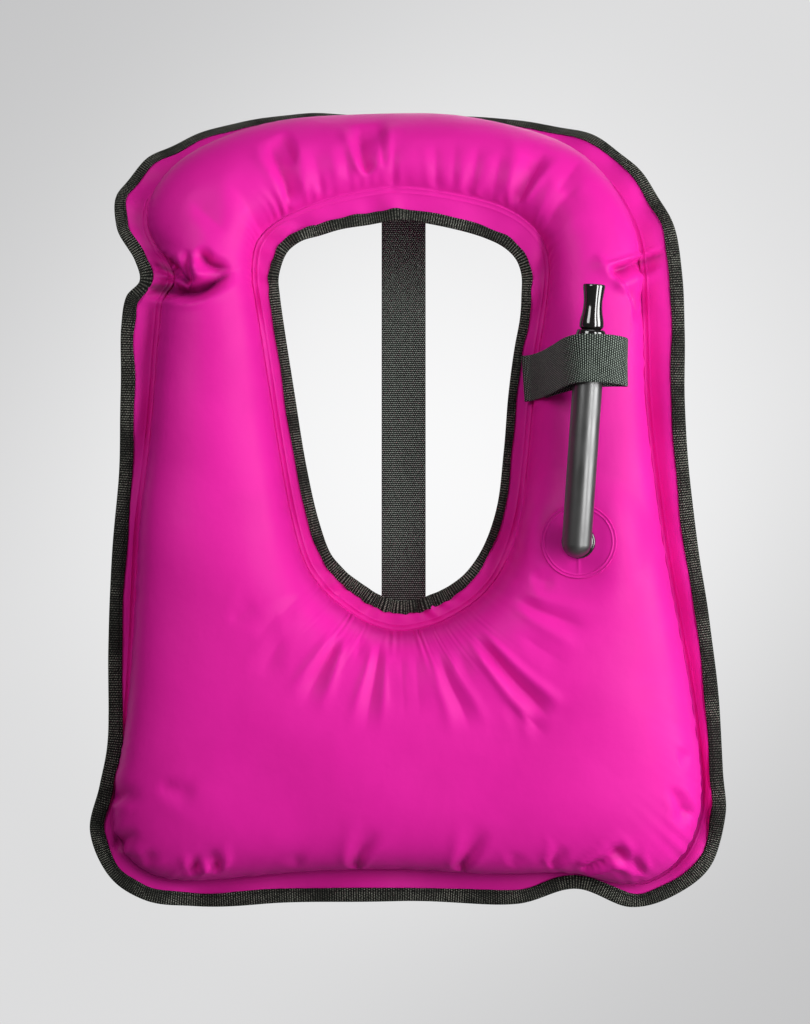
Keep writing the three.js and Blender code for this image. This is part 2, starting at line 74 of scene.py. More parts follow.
# The map that runs along and across a strip, the mesh value that paints shade into folds and the
# weld groove, and how dark that painted shade gets.
STRIP_MAP = "strip"
PAINTED_SHADE = "painted_shade"
FOLD_SHADE = 0.22
SIDE = (1.0, 0.0, 0.0)
UP = (0.0, 0.0, 1.0)
TO_VIEWER = np.array([0.0, -1.0, 0.0])
# The most steps the membrane's solution takes, and the share of the load it may leave over.
MEMBRANE_STEPS = 1500
MEMBRANE_LEFT = 1e-9
# A station on the fabric's edge, or anywhere between two, and a value there.
StationTable = tuple[tuple[float, float], ...]
# What a shader's socket takes: another's output, or its own number or colour.
Value = bpy.types.NodeSocket | float
Colour = bpy.types.NodeSocket | tuple

# Stations round the jacket, clockwise from the collar's top as seen from the front, in mm: the
# outer edge (x, y, z), then the neck edge (x, z), which lies at y = 0.
STATIONS_MM = (
    (0, 92, 80, 0, 0),
    (52, 84, 80, 30, -5),
    (96, 71, 75, 56, -12),
    (130, 58, 66, 70, -19),
    (158, 42, 47, 78, -27),
    (178, 24, 21, 82, -38),
    (190, 10, -8, 82, -52),
    (194, 2, -40, 81, -68),
    (195.5, 0, -80, 77, -90),
    (195.5, 0, -125, 73, -122),
    (199, 0, -175, 70, -160),
    (206, 0, -230, 65, -200),
    (214, 0, -280, 55, -229),
    (221, 0, -335, 43, -246),
    (224, 0, -385, 33, -254),
    (226, 0, -415, 26, -258),
    (217, 0, -451, 20, -260.5),
    (190, 0, -474, 15, -262.5),
    (160, 0, -482, 10, -264),
    (122, 0, -469, 6, -264.6),
    (80, 0, -480, 2, -265),
    (-3, 0, -478, -3.5, -265),
    (-85, 0, -479.5, -9, -264),
    (-147, 0, -482, -14, -262.5),
    (-183, 0, -477, -19, -260),
    (-207, 0, -461, -25, -256),
    (-221, 0, -428, -31, -252),
    (-214, 0, -396, -37, -247.5),
    (-208, 0, -365, -43, -242),
    (-207, 0, -300, -51, -232),
    (-204, 0, -235, -59, -210),
    (-199, 0, -175, -68, -170),
    (-197, 0, -120, -76, -120),
    (-196.5, 0, -75, -83, -75),
    (-193, 0, -53, -86, -52),
    (-184, 2, -42, -87, -42),
    (-188, 6, -27, -86, -35),
    (-201, 14, -5, -83, -26),
    (-202, 26, 19, -79, -20),
    (-184, 40, 44, -70, -14),
    (-155, 54, 61, -58, -10.5),
    (-118, 68, 75, -42, -6),
    (-77, 78, 82, -26, -3.5),
    (-38, 87, 82, -12, -1),
)


# ---- small helpers ------------------------------------------------------------------------------


def spline(points: np.ndarray, at: np.ndarray, closed: bool = True) -> np.ndarray:
    """Evaluates a centripetal Catmull-Rom curve.

    Args:
        points: The points it passes, one row each.
        at: Shares of the way along, counted in points, from 0 to 1.
        closed: Whether the last point joins the first.

    Returns:
        One row for each share.
    """
    points = np.asarray(points, float)
    if closed:
        count = len(points)
        place = (at % 1.0) * count
        first = np.floor(place).astype(int)
    else:
        count = len(points) + 2
        before, after = 2 * points[0] - points[1], 2 * points[-1] - points[-2]
        points = np.concatenate([[before], points, [after]])
        place = np.clip(at, 0, 1) * (count - 3) + 1
        first = np.minimum(np.floor(place).astype(int), count - 3)
    w = (place - first)[:, None]
    p0, p1, p2, p3 = (points[(first + k) % count] for k in (-1, 0, 1, 2))
    d0, d1, d2 = (
        np.sqrt(np.linalg.norm(b - a, axis=1))[:, None] for a, b in ((p0, p1), (p1, p2), (p2, p3))
    )
    t1 = ((p1 - p0) / d0 - (p2 - p0) / (d0 + d1) + (p2 - p1) / d1) * d1
    t2 = ((p2 - p1) / d1 - (p3 - p1) / (d1 + d2) + (p3 - p2) / d2) * d1
    return p1 + t1 * w + (3 * (p2 - p1) - 2 * t1 - t2) * w**2 + (2 * (p1 - p2) + t1 + t2) * w**3


def run_length(steps: np.ndarray) -> np.ndarray:
    """How far along each point of a line lies, given the steps between them, one row each."""
    return np.concatenate([[0], np.cumsum(np.linalg.norm(steps, axis=1))])


def by_station(table: StationTable, share: np.ndarray) -> np.ndarray:
    """Looks a table of stations up all the way round the jacket.

    Args:
        table: Stations in order, the first of them 0, each with its value.
        share: Shares of the way round, from 0 to 1.

    Returns:
        The value at each share.
    """
    at, value = zip(*table)
    count = len(STATIONS_MM)
    return np.interp(share * count, [*at, count], [*value, value[0]])


def evenly(points: Sequence[Sequence[float]], step: float) -> np.ndarray:
    """Spaces points along an open curve.

    Args:
        points: The points the curve passes.
        step: About how far apart the new points are.

    Returns:
        The new points, one row each.
    """
    fine = spline(np.array(points, float), np.linspace(0, 1, 60 * len(points)), closed=False)
    along = run_length(np.diff(fine, axis=0))
    wanted = np.linspace(0, along[-1], max(2, round(along[-1] / step)))
    return np.stack([np.interp(wanted, along, fine[:, k]) for k in range(fine.shape[1])], 1)


def unit(v: np.ndarray) -> np.ndarray:
    """Scales each row to length one."""
    return v / np.maximum(np.linalg.norm(v, axis=-1, keepdims=True), 1e-12)


def ease(x: np.ndarray) -> np.ndarray:
    """Rises smoothly from 0 to 1 as x does."""
    x = np.clip(x, 0, 1)
    return x * x * (3 - 2 * x)


def bell(x: np.ndarray, width: float) -> np.ndarray:
    """A smooth hump of height one and the given half width."""
    return np.exp(-((x / width) ** 2))


def waves(at: np.ndarray, counts: Sequence[int], seed: int) -> np.ndarray:
    """A smooth closed wave round the jacket, between about -1 and 1.

    Args:
        at: Shares of the way round, from 0 to 1.
        counts: How many crests each layer of the wave has.
        seed: Picks the phases and strengths.

    Returns:
        The wave's height at each share.
    """
    rng = np.random.default_rng(seed)
    total = np.zeros_like(at)
    weight = 0.0
    for count in counts:
        phase, drift, strength = rng.uniform(0, 2 * np.pi, 2).tolist() + [rng.uniform(0.6, 1.0)]
        sway = 0.9 * np.sin(2 * np.pi * 3 * at + drift)
        total += strength * np.sin(2 * np.pi * count * at + phase + sway)
        weight += strength
    return total / weight * 1.4


def ring_distance(a: np.ndarray, b: float) -> np.ndarray:
    """The shorter way from b to each of a, both shares of the way round."""
    return np.abs((a - b + 0.5) % 1.0 - 0.5)


def smoothed(values: np.ndarray, share: float) -> np.ndarray:
    """Averages the rows of a closed ring with their neighbours.

    Args:
        values: One row for each place round the ring.
        share: The spread of the average, as a share of the way round.

    Returns:
        The smoothed rows.
    """
    rows = share * len(values)
    reach = int(3 * rows)
    weight = np.exp(-0.5 * (np.arange(-reach, reach + 1) / rows) ** 2)
    weight /= weight.sum()
    return sum(w * np.roll(values, k, 0) for w, k in zip(weight, range(-reach, reach + 1)))


def surface_normals(points: np.ndarray) -> np.ndarray:
    """Finds the normals of a grid whose last row joins its first.

    Args:
        points: Rows by columns by three.

    Returns:
        A unit normal for each point.
    """
    around = np.roll(points, -1, 0) - np.roll(points, 1, 0)
    across = np.gradient(points, axis=1)
    return unit(np.cross(across, around))


def cotangent(at: np.ndarray, one: np.ndarray, other: np.ndarray) -> np.ndarray:
    """The cotangent of the corner at each point between the ways to one and to the other."""
    a, b = one - at, other - at
    return np.sum(a * b, -1) / np.maximum(np.linalg.norm(np.cross(a, b), axis=-1), 1e-14)


def membrane_height(middle: np.ndarray) -> np.ndarray:
    """How far a membrane stretched between a ring's two edges rises under a unit pressure.

    Args:
        middle: The flat ring, ribs by columns by three. Its first and last columns are held at 0.

    Returns:
        The height at each point, in square metres.
    """
    a, d = middle[:, :-1], middle[:, 1:]
    b, c = np.roll(a, -1, 0), np.roll(d, -1, 0)
    along = np.zeros(middle.shape[:2])
    across = np.zeros(a.shape[:2])
    along[:, :-1] += cotangent(c, a, b)
    along[:, 1:] += cotangent(a, c, d)
    across += np.roll(cotangent(a, b, c), 1, 0) + cotangent(c, a, d)
    slant = cotangent(b, a, c) + cotangent(d, a, c)
    areas = sum(
        np.linalg.norm(np.cross(one - a, other - a), axis=-1) for one, other in ((b, c), (c, d))
    )
    load = np.zeros(middle.shape[:2])
    for rows in (0, 1):
        load[:, :-1] += np.roll(areas, rows, 0) / 8
        load[:, 1:] += np.roll(areas, rows, 0) / 8
    held = np.ones(middle.shape[:2])
    held[:, [0, -1]] = 0

    def pull(h: np.ndarray) -> np.ndarray:
        """The membrane's pull back to flat at each point."""
        out = np.zeros_like(h)
        flow = along * (np.roll(h, -1, 0) - h)
        out += np.roll(flow, 1, 0) - flow
        flow = across * (h[:, 1:] - h[:, :-1])
        out[:, :-1] -= flow
        out[:, 1:] += flow
        flow = slant * (np.roll(h, -1, 0)[:, 1:] - h[:, :-1])
        out[:, :-1] -= flow
        out[:, 1:] += np.roll(flow, 1, 0)
        return out * held / 2

    height = np.zeros_like(load)
    rest = load * held
    way = rest.copy()
    size = np.sum(rest * rest)
    start = size
    for _ in range(MEMBRANE_STEPS):
        pulled = pull(way)
        share = size / np.sum(way * pulled)
        height += share * way
        rest -= share * pulled
        new_size = np.sum(rest * rest)
        way = rest + way * new_size / size
        size = new_size
        if size < start * MEMBRANE_LEFT:
            break
    return height


def linked(name: str, data: bpy.types.ID) -> bpy.types.Object:
    """Makes an object of some data and links it to the scene."""
    obj = bpy.data.objects.new(name, data)
    bpy.context.scene.collection.objects.link(obj)
    return obj


def shade_smooth(obj: bpy.types.Object) -> None:
    """Shades all of a mesh's faces smooth."""
    faces = obj.data.polygons
    faces.foreach_set("use_smooth", np.ones(len(faces), bool))


@contextmanager
def editing(obj: bpy.types.Object) -> Iterator[bmesh.types.BMesh]:
    """Opens an object's mesh for editing, and writes it back afterwards.

    Args:
        obj: The object.

    Yields:
        Its mesh, open.
    """
    mesh = bmesh.new()
    mesh.from_mesh(obj.data)
    yield mesh
    mesh.to_mesh(obj.data)
    mesh.free()


def grid_mesh(
    name: str,
    points: np.ndarray,
    close_rows: bool,
    close_columns: bool,
    flip: bool = False,
    uv: np.ndarray | None = None,
) -> bpy.types.Object:
    """Makes a smooth-shaded mesh of quads from a grid of points.

    Args:
        name: The object's name.
        points: Rows by columns by three.
        close_rows: Whether the last row joins the first.
        close_columns: Whether the last column joins the first.
        flip: Turns the faces over.
        uv: Rows by columns by two, plus one more row or column where the grid closes.

    Returns:
        The new object, linked to the scene.
    """
    rows, columns = points.shape[:2]
    r = np.arange(rows if close_rows else rows - 1)
    c = np.arange(columns if close_columns else columns - 1)
    i, j = (m.ravel() for m in np.meshgrid(r, c, indexing="ij"))
    i2, j2 = (i + 1) % rows, (j + 1) % columns
    quads = np.stack([i * columns + j, i * columns + j2, i2 * columns + j2, i2 * columns + j], 1)
    if flip:
        quads = quads[:, ::-1]
    mesh = bpy.data.meshes.new(name)
    mesh.vertices.add(rows * columns)
    mesh.vertices.foreach_set("co", points.astype(np.float32).ravel())
    mesh.loops.add(quads.size)
    mesh.loops.foreach_set("vertex_index", quads.astype(np.int32).ravel())
    mesh.polygons.add(len(quads))
    mesh.polygons.foreach_set("loop_start", np.arange(0, quads.size, 4, dtype=np.int32))
    mesh.polygons.foreach_set("use_smooth", np.ones(len(quads), bool))
    if uv is not None:
        u_columns = uv.shape[1]
        corners = [(i, j), (i, j + 1), (i + 1, j + 1), (i + 1, j)]
        if flip:
            corners = corners[::-1]
        flat = uv.reshape(-1, 2)
        per_corner = np.stack([flat[a * u_columns + b] for a, b in corners], 1)
        strip = mesh.uv_layers.new(name=STRIP_MAP)
        strip.data.foreach_set("uv", per_corner.astype(np.float32).ravel())
    mesh.update(calc_edges=True)
    mesh.validate()
    return linked(name, mesh)


# ---- finishes -----------------------------------------------------------------------------------


class Finish(Enum):
    """The record's material slots."""

    COATED_NYLON = "coated_nylon"
    WOVEN_TAPE = "woven_tape"
    WEBBING = "webbing"
    HOSE_RUBBER = "hose_rubber"
    GLOSS_BLACK = "gloss_black"
    MOULDED_BLACK = "moulded_black"
    FLEXIBLE_VINYL = "flexible_vinyl"
    SPRING_STEEL = "spring_steel"


class Shader:
    """One material and short calls that add nodes to it."""

    def __init__(
        self, name: str, roughness: float, specular: float = 0.5, metallic: float = 0.0
    ) -> None:
        """Starts a material.

        Args:
            name: The material's name.
            roughness: The plain roughness.
            specular: The strength of the plain reflection.
            metallic: 1 for metal.
        """
        self.material = bpy.data.materials.new(name)
        self.material.use_nodes = True
        self.tree = self.material.node_tree
        self.surface = self.tree.nodes["Principled BSDF"]
        self.surface.inputs["Roughness"].default_value = roughness
        self.surface.inputs["Specular IOR Level"].default_value = specular
        self.surface.inputs["Metallic"].default_value = metallic

    def put(self, socket: bpy.types.NodeSocket, value: object) -> None:
        """Links an output to a socket, or sets the socket's own value."""
        if isinstance(value, bpy.types.NodeSocket):
            self.tree.links.new(value, socket)
        else:
            socket.default_value = value

    def node(self, kind: str, inputs: dict | None = None, **settings: object) -> bpy.types.Node:
        """Adds a node.

        Args:
            kind: Its type, without the common prefix.
            inputs: An output or a value for each input, by name or place.
            settings: The node's own settings.

        Returns:
            The node.
        """
        made = self.tree.nodes.new("ShaderNode" + kind)
        for key, value in settings.items():
            setattr(made, key, value)
        for key, value in (inputs or {}).items():
            self.put(made.inputs[key], value)
        return made

    def polish(self, ior: float) -> None:
        """Strengthens the plain reflection."""
        self.surface.inputs["IOR"].default_value = ior

    def math(self, operation: str, a: Value, b: Value = 0.0) -> bpy.types.NodeSocket:
        """One sum of two values."""
        return self.node("Math", {0: a, 1: b}, operation=operation).outputs[0]

    def times(self, a: Value, b: Value) -> bpy.types.NodeSocket:
        """Multiplies two values."""
        return self.math("MULTIPLY", a, b)

    def band(
        self, value: Value, low: float, high: float, to_low: float = 0.0, to_high: float = 1.0
    ) -> bpy.types.NodeSocket:
        """Maps low..high smoothly onto to_low..to_high."""
        inputs = {0: value, 1: low, 2: high, 3: to_low, 4: to_high}
        return self.node("MapRange", inputs, interpolation_type="SMOOTHSTEP").outputs[0]

    def mix(self, share: Value, a: Colour, b: Colour) -> bpy.types.NodeSocket:
        """Mixes two colours.

        Args:
            share: How much of the second there is.
            a: The first colour.
            b: The second colour.

        Returns:
            The mixed colour.
        """
        made = self.node("Mix", data_type="RGBA")
        for index, value in ((0, share), (6, a), (7, b)):
            self.put(made.inputs[index], value)
        return made.outputs[2]

    def noise(
        self, at: bpy.types.NodeSocket, scale: float, detail: float = 2.0
    ) -> bpy.types.NodeSocket:
        """Cloudy noise between 0 and 1."""
        return self.node("TexNoise", {"Vector": at, "Scale": scale, "Detail": detail}).outputs[0]

    def place(self) -> bpy.types.NodeSocket:
        """The point in the object's own space, in metres."""
        return self.node("TexCoord").outputs["Object"]

    def strip(self) -> tuple[bpy.types.NodeSocket, bpy.types.NodeSocket]:
        """The way along a strip and the way across it, in metres."""
        uv = self.node("UVMap", uv_map=STRIP_MAP).outputs[0]
        split = self.node("SeparateXYZ", {0: uv})
        return split.outputs[0], split.outputs[1]

    def ripple(
        self, value: Value, pitch: float, phase: Value = 0.0
    ) -> bpy.types.NodeSocket:
        """A sine of that pitch, between -1 and 1."""
        turned = self.times(value, 2 * math.pi / pitch)
        return self.math("SINE", self.math("ADD", turned, phase))

    def finish(self, colour: Colour, bumps: Sequence[tuple] = ()) -> bpy.types.Material:
        """Sets the colour and the bumps.

        Args:
            colour: The base colour.
            bumps: Heights, each with its distance in metres, the coarsest first.

        Returns:
            The finished material.
        """
        self.put(self.surface.inputs["Base Color"], colour)
        normal = None
        for height, distance in bumps:
            inputs = {"Height": height, "Distance": distance, "Strength": 1.0}
            if normal is not None:
                inputs["Normal"] = normal
            normal = self.node("Bump", inputs).outputs[0]
        if normal is not None:
            self.put(self.surface.inputs["Normal"], normal)
        return self.material


@dataclass(frozen=True)
class Palette:
    """Colours, linear, and the pitches of the weaves."""

    nylon: tuple = (0.80, 0.0150, 0.372, 1)
    nylon_shade: tuple = (0.74, 0.0135, 0.342, 1)
    tape: tuple = (0.0060, 0.0070, 0.0060, 1)
    tape_fleck: tuple = (0.42, 0.43, 0.36, 1)
    web: tuple = (0.0050, 0.0075, 0.0062, 1)
    web_fleck: tuple = (0.37, 0.44, 0.38, 1)
    rubber: tuple = (0.018, 0.0185, 0.0175, 1)
    gloss: tuple = (0.010, 0.010, 0.009, 1)
    moulded: tuple = (0.017, 0.018, 0.017, 1)
    vinyl: tuple = (0.62, 0.01, 0.27, 1)
    steel: tuple = (0.55, 0.55, 0.53, 1)
    tape_pitch: float = 1.7 * MM
    tape_row: float = 1.15 * MM
    web_pitch: float = 1.65 * MM
    web_row: float = 1.45 * MM
    seam_inset: float = 7.7 * MM


class Materials:
    """Makes every finish once."""

    def __init__(self, palette: Palette = Palette()) -> None:
        """Builds the materials.

        Args:
            palette: The colours.
        """
        self.palette = palette
        self.by_finish = {
            Finish.COATED_NYLON: self._coated("coated_nylon", palette.nylon, palette.nylon_shade),
            Finish.WOVEN_TAPE: self._tape(),
            Finish.WEBBING: self._webbing(),
            Finish.FLEXIBLE_VINYL: self._coated("flexible_vinyl", palette.vinyl, palette.vinyl),
        }
        # Colour, roughness, specular, grain in lumps per metre, relief, and metal or not.
        for finish, *looks in (
            (Finish.HOSE_RUBBER, palette.rubber, 0.38, 1.0, 900, 0.006 * MM),
            (Finish.GLOSS_BLACK, palette.gloss, 0.10, 0.85, 60, 0.01 * MM),
            (Finish.MOULDED_BLACK, palette.moulded, 0.42, 0.5, 1600, 0.03 * MM),
            (Finish.SPRING_STEEL, palette.steel, 0.25, 0.5, 500, 0.01 * MM, 1.0),
        ):
            self.by_finish[finish] = self._solid(finish.value, *looks)

    def dress(self, obj: bpy.types.Object, finish: Finish) -> None:
        """Gives an object one finish."""
        obj.data.materials.clear()
        obj.data.materials.append(self.by_finish[finish])

    @staticmethod
    def _coated(name: str, base: tuple, shade: tuple) -> bpy.types.Material:
        """Satin coated fabric, with a fine weave under the coating, soft crinkles and shade painted
        into its folds.

        Args:
            name: The material's name.
            base: Its colour.
            shade: The colour of its cloudy darker parts.

        Returns:
            The material.
        """
        s = Shader(name, 0.5, 0.14)
        at = s.place()
        colour = s.mix(s.band(s.noise(at, 14.0, 3.0), 0.35, 0.65), base, shade)
        # Painted shade: the colour darkens down in folds and in the groove along the outer weld.
        painted_shade = s.node("Attribute", attribute_name=PAINTED_SHADE).outputs["Fac"]
        in_shade = tuple(FOLD_SHADE * part for part in base[:3]) + (1,)
        colour = s.mix(painted_shade, colour, in_shade)
        weave = s.noise(at, 1500.0, 1.0)
        crinkle = s.noise(at, 60.0, 3.0)
        s.put(s.surface.inputs["Roughness"], s.band(s.noise(at, 30.0), 0.3, 0.7, 0.46, 0.53))
        return s.finish(colour, ((crinkle, 0.35 * MM), (weave, 0.02 * MM)))

    def _tape(self) -> bpy.types.Material:
        """Ribbed woven tape with light flecks and a sunk seam near its inner edge."""
        p = self.palette
        s = Shader("woven_tape", 0.75, 0.12)
        along, across = s.strip()
        at = s.place()
        ribs = s.ripple(along, p.tape_pitch)
        rows = s.ripple(across, p.tape_row, s.times(along, math.pi / p.tape_pitch))
        weave = s.times(s.band(ribs, -0.1, 0.8), s.band(rows, -0.3, 0.7))
        patchy = s.band(s.noise(at, 42.0, 3.0), 0.38, 0.60, 0.35, 1.0)
        fleck = s.times(s.times(weave, patchy), s.band(s.noise(at, 1400.0), 0.28, 0.55))
        from_seam = s.math("ABSOLUTE", s.math("SUBTRACT", across, p.seam_inset))
        seam = s.band(from_seam, 0.25 * MM, 0.6 * MM, 1.0, 0.0)
        colour = s.mix(s.times(fleck, 0.9), p.tape, p.tape_fleck)
        colour = s.mix(s.times(seam, 0.6), colour, p.tape)
        height = s.math("ADD", s.times(ribs, 0.6), s.times(rows, 0.35))
        height = s.math("SUBTRACT", height, s.times(seam, 1.4))
        return s.finish(colour, ((height, 0.11 * MM), (s.noise(at, 180.0, 3.0), 0.5 * MM)))

    def _webbing(self) -> bpy.types.Material:
        """Flat webbing: staggered rows of light yarn, darker between them."""
        p = self.palette
        s = Shader("webbing", 0.65, 0.15)
        along, across = s.strip()
        at = s.place()
        stagger = s.times(s.math("ROUND", s.math("DIVIDE", along, p.web_row)), math.pi)
        columns = s.ripple(across, p.web_pitch, stagger)
        rows = s.math("COSINE", s.times(along, 2 * math.pi / p.web_row))
        yarn = s.times(s.band(columns, -1.3, 0.7), s.band(rows, -0.3, 0.7))
        worn = s.band(s.noise(at, 700.0), 0.3, 0.62, 0.7, 1.0)
        colour = s.mix(s.times(s.times(yarn, worn), 0.9), p.web, p.web_fleck)
        return s.finish(colour, ((yarn, 0.22 * MM), (s.noise(at, 120.0, 2.0), 0.3 * MM)))

    @staticmethod
    def _solid(
        name: str,
        base: tuple,
        roughness: float,
        specular: float,
        grain: float,
        relief: float,
        metallic: float = 0.0,
    ) -> bpy.types.Material:
        """A plain moulded, rubber or metal finish with a fine grain.

        Args:
            name: The material's name.
            base: Its colour.
            roughness: Its middle roughness.
            specular: The strength of the plain reflection.
            grain: The grain's fineness, in lumps per metre.
            relief: The grain's depth.
            metallic: 1 for metal.

        Returns:
            The material.
        """
        s = Shader(name, roughness, specular, metallic)
        s.polish(1.5 + 0.25 * specular)
        at = s.place()
        s.put(
            s.surface.inputs["Roughness"],
            s.band(s.noise(at, 40.0, 3.0), 0.3, 0.7, roughness * 0.88, roughness * 1.15),
        )
        return s.finish(base, ((s.noise(at, grain, 2.0), relief),))


# ---- the jacket's lines -------------------------------------------------------------------------


@dataclass(frozen=True)
class Ribs:
    """The lines across the fabric from the neck edge to the outer edge, one row for each rib."""

    share: np.ndarray
    neck: np.ndarray
    outer: np.ndarray
    upright: np.ndarray
    outward: np.ndarray
    front: np.ndarray
    neck_weld: np.ndarray
    outer_weld: np.ndarray


@dataclass(frozen=True)
class Pattern:
    """How the two panels are cut and welded."""

    rib_count: int = 960
    full_depth: float = 72 * MM
    back_share: float = 0.82
    # Station, and width in mm of the border from the weld to the edge there.
    outer_flange_mm: StationTable = (
        (0, 27), (3, 26), (5, 26.5), (7, 29.5), (8, 29), (9, 27.5), (10, 25.5), (12, 25.5),
        (13, 23.5), (14, 20), (16, 20), (17, 18), (18, 19), (18.5, 23), (19, 15), (19.6, 22),
        (20, 25.5), (22, 26.5), (23, 25), (24, 18), (25, 17.5), (26.6, 19), (28, 16.5), (29, 20),
        (30.6, 18), (31, 20), (32, 23.5), (33, 27), (34, 26.5), (35, 24), (39, 24),
    )
    neck_flange_mm: StationTable = (
        (0, 23), (2, 25), (4, 24), (5.5, 22), (7, 18.5), (11, 17.5), (12.5, 20), (15, 21.5),
        (27, 21.5), (29, 19.5), (31, 17.5), (33, 17.5), (35.5, 19), (37.5, 23), (40, 25.5),
        (42, 25),
    )
    notch_station: float = 35.2
    # Station, half width in stations, and how much denser the ribs are there.
    dense: tuple[tuple[float, float, float], ...] = (
        (35.0, 1.7, 2.2), (7.6, 1.3, 1.2), (18.5, 2.2, 0.5),
    )
    samples: int = 6000

    def ribs(self) -> Ribs:
        """Lays the ribs out along the middle of the fabric, closer together at the deep folds."""
        stations = np.array(STATIONS_MM, float) * MM
        outer_points = stations[:, :3]
        neck_points = np.stack([stations[:, 3], np.zeros(len(stations)), stations[:, 4]], 1)
        fine = np.arange(self.samples) / self.samples
        middle = spline(outer_points, fine) * 0.6 + spline(neck_points, fine) * 0.4
        step = np.linalg.norm(np.roll(middle, -1, 0) - middle, axis=1)
        count = len(STATIONS_MM)
        for station, half_width, extra in self.dense:
            near = bell(ring_distance(fine, station / count) * count, half_width)
            step = step * (1 + extra * near)
        along = np.concatenate([[0], np.cumsum(step)])
        wanted = np.arange(self.rib_count) / self.rib_count * along[-1]
        share = np.interp(wanted, along, np.append(fine, 1.0))
        neck = spline(neck_points, share)
        outer = spline(outer_points, share)
        upright = outer - neck
        upright[:, 1] = 0
        upright = unit(upright)
        neck_flange = by_station(self.neck_flange_mm, share)[:, None] * MM
        outer_flange = by_station(self.outer_flange_mm, share)[:, None] * MM
        neck_weld = smoothed(neck + upright * neck_flange, 0.005)
        outward = unit(outer - neck_weld)
        plain = outer - outward * outer_flange
        notch = bell(ring_distance(share, self.notch_station / count) * count, 2.5)[:, None]
        outer_weld = smoothed(plain, 0.008) * (1 - notch) + smoothed(plain, 0.0024) * notch
        around = unit(np.roll(outer + neck, -1, 0) - np.roll(outer + neck, 1, 0))
        front = unit(np.cross(around, outward))
        front[front[:, 1] > 0] *= -1
        front = unit(smoothed(front, 0.019))
        outward = unit(outer_weld - neck_weld)
        return Ribs(share, neck, outer, upright, outward, front, neck_weld, outer_weld)


@dataclass(frozen=True)
class Crease:
    """A fold line in the front of the jacket: a valley with a low ridge on each side, in mm.

    path is (x, z) along the fold. lean widens the side left of the path and narrows the other.
    A negative depth makes a ridge. start and end are the shares of the path it takes to deepen
    and to run out. A sharpness of 1 gives a knife-edged valley, 2 a round one. A positive flare
    makes it wider toward its end, a negative one toward its start.
    """

    path: tuple[tuple[float, float], ...]
    depth: float
    width: float
    lean: float = 0.0
    ridge: float = 0.22
    start: float = 0.25
    end: float = 0.4
    sharpness: float = 1.3
    flare: float = 0.4

    def depth_at(self, x: np.ndarray, z: np.ndarray) -> np.ndarray:
        """How far each point is pressed in, in metres.

        Args:
            x: The points' x, in metres.
            z: The points' z, in metres.

        Returns:
            One depth for each point.
        """
        line = spline(np.array(self.path, float), np.linspace(0, 1, 15), closed=False)
        px, pz = x / MM, z / MM
        reach = 4.5 * self.width
        low, high = line.min(0) - reach, line.max(0) + reach
        near = (px > low[0]) & (px < high[0]) & (pz > low[1]) & (pz < high[1])
        pressed = np.zeros_like(x)
        px, pz = px[near], pz[near]
        best = np.full(px.shape, np.inf)
        signed = np.zeros_like(best)
        along = np.zeros_like(best)
        for k, (a, b) in enumerate(zip(line[:-1], line[1:])):
            way = b - a
            length = np.linalg.norm(way)
            t = np.clip(((px - a[0]) * way[0] + (pz - a[1]) * way[1]) / length**2, 0, 1)
            dx, dz = px - a[0] - t * way[0], pz - a[1] - t * way[1]
            distance = np.hypot(dx, dz)
            nearer = distance < best
            best = np.where(nearer, distance, best)
            signed = np.where(nearer, np.sign(way[0] * dz - way[1] * dx) * distance, signed)
            along = np.where(nearer, (k + t) / (len(line) - 1), along)
        width = self.width * np.where(signed > 0, 1 + self.lean, 1 - self.lean)
        width = width * (1 + self.flare * (2 * along - 1))
        across = np.abs(signed) / width
        valley = np.exp(-(across**self.sharpness))
        ridges = self.ridge * np.exp(-(((across - 1.9) / 0.85) ** 2))
        taper = ease(along / max(self.start, 1e-3)) * ease((1 - along) / max(self.end, 1e-3))
        pressed[near] = self.depth * MM * (valley - ridges) * taper
        return pressed


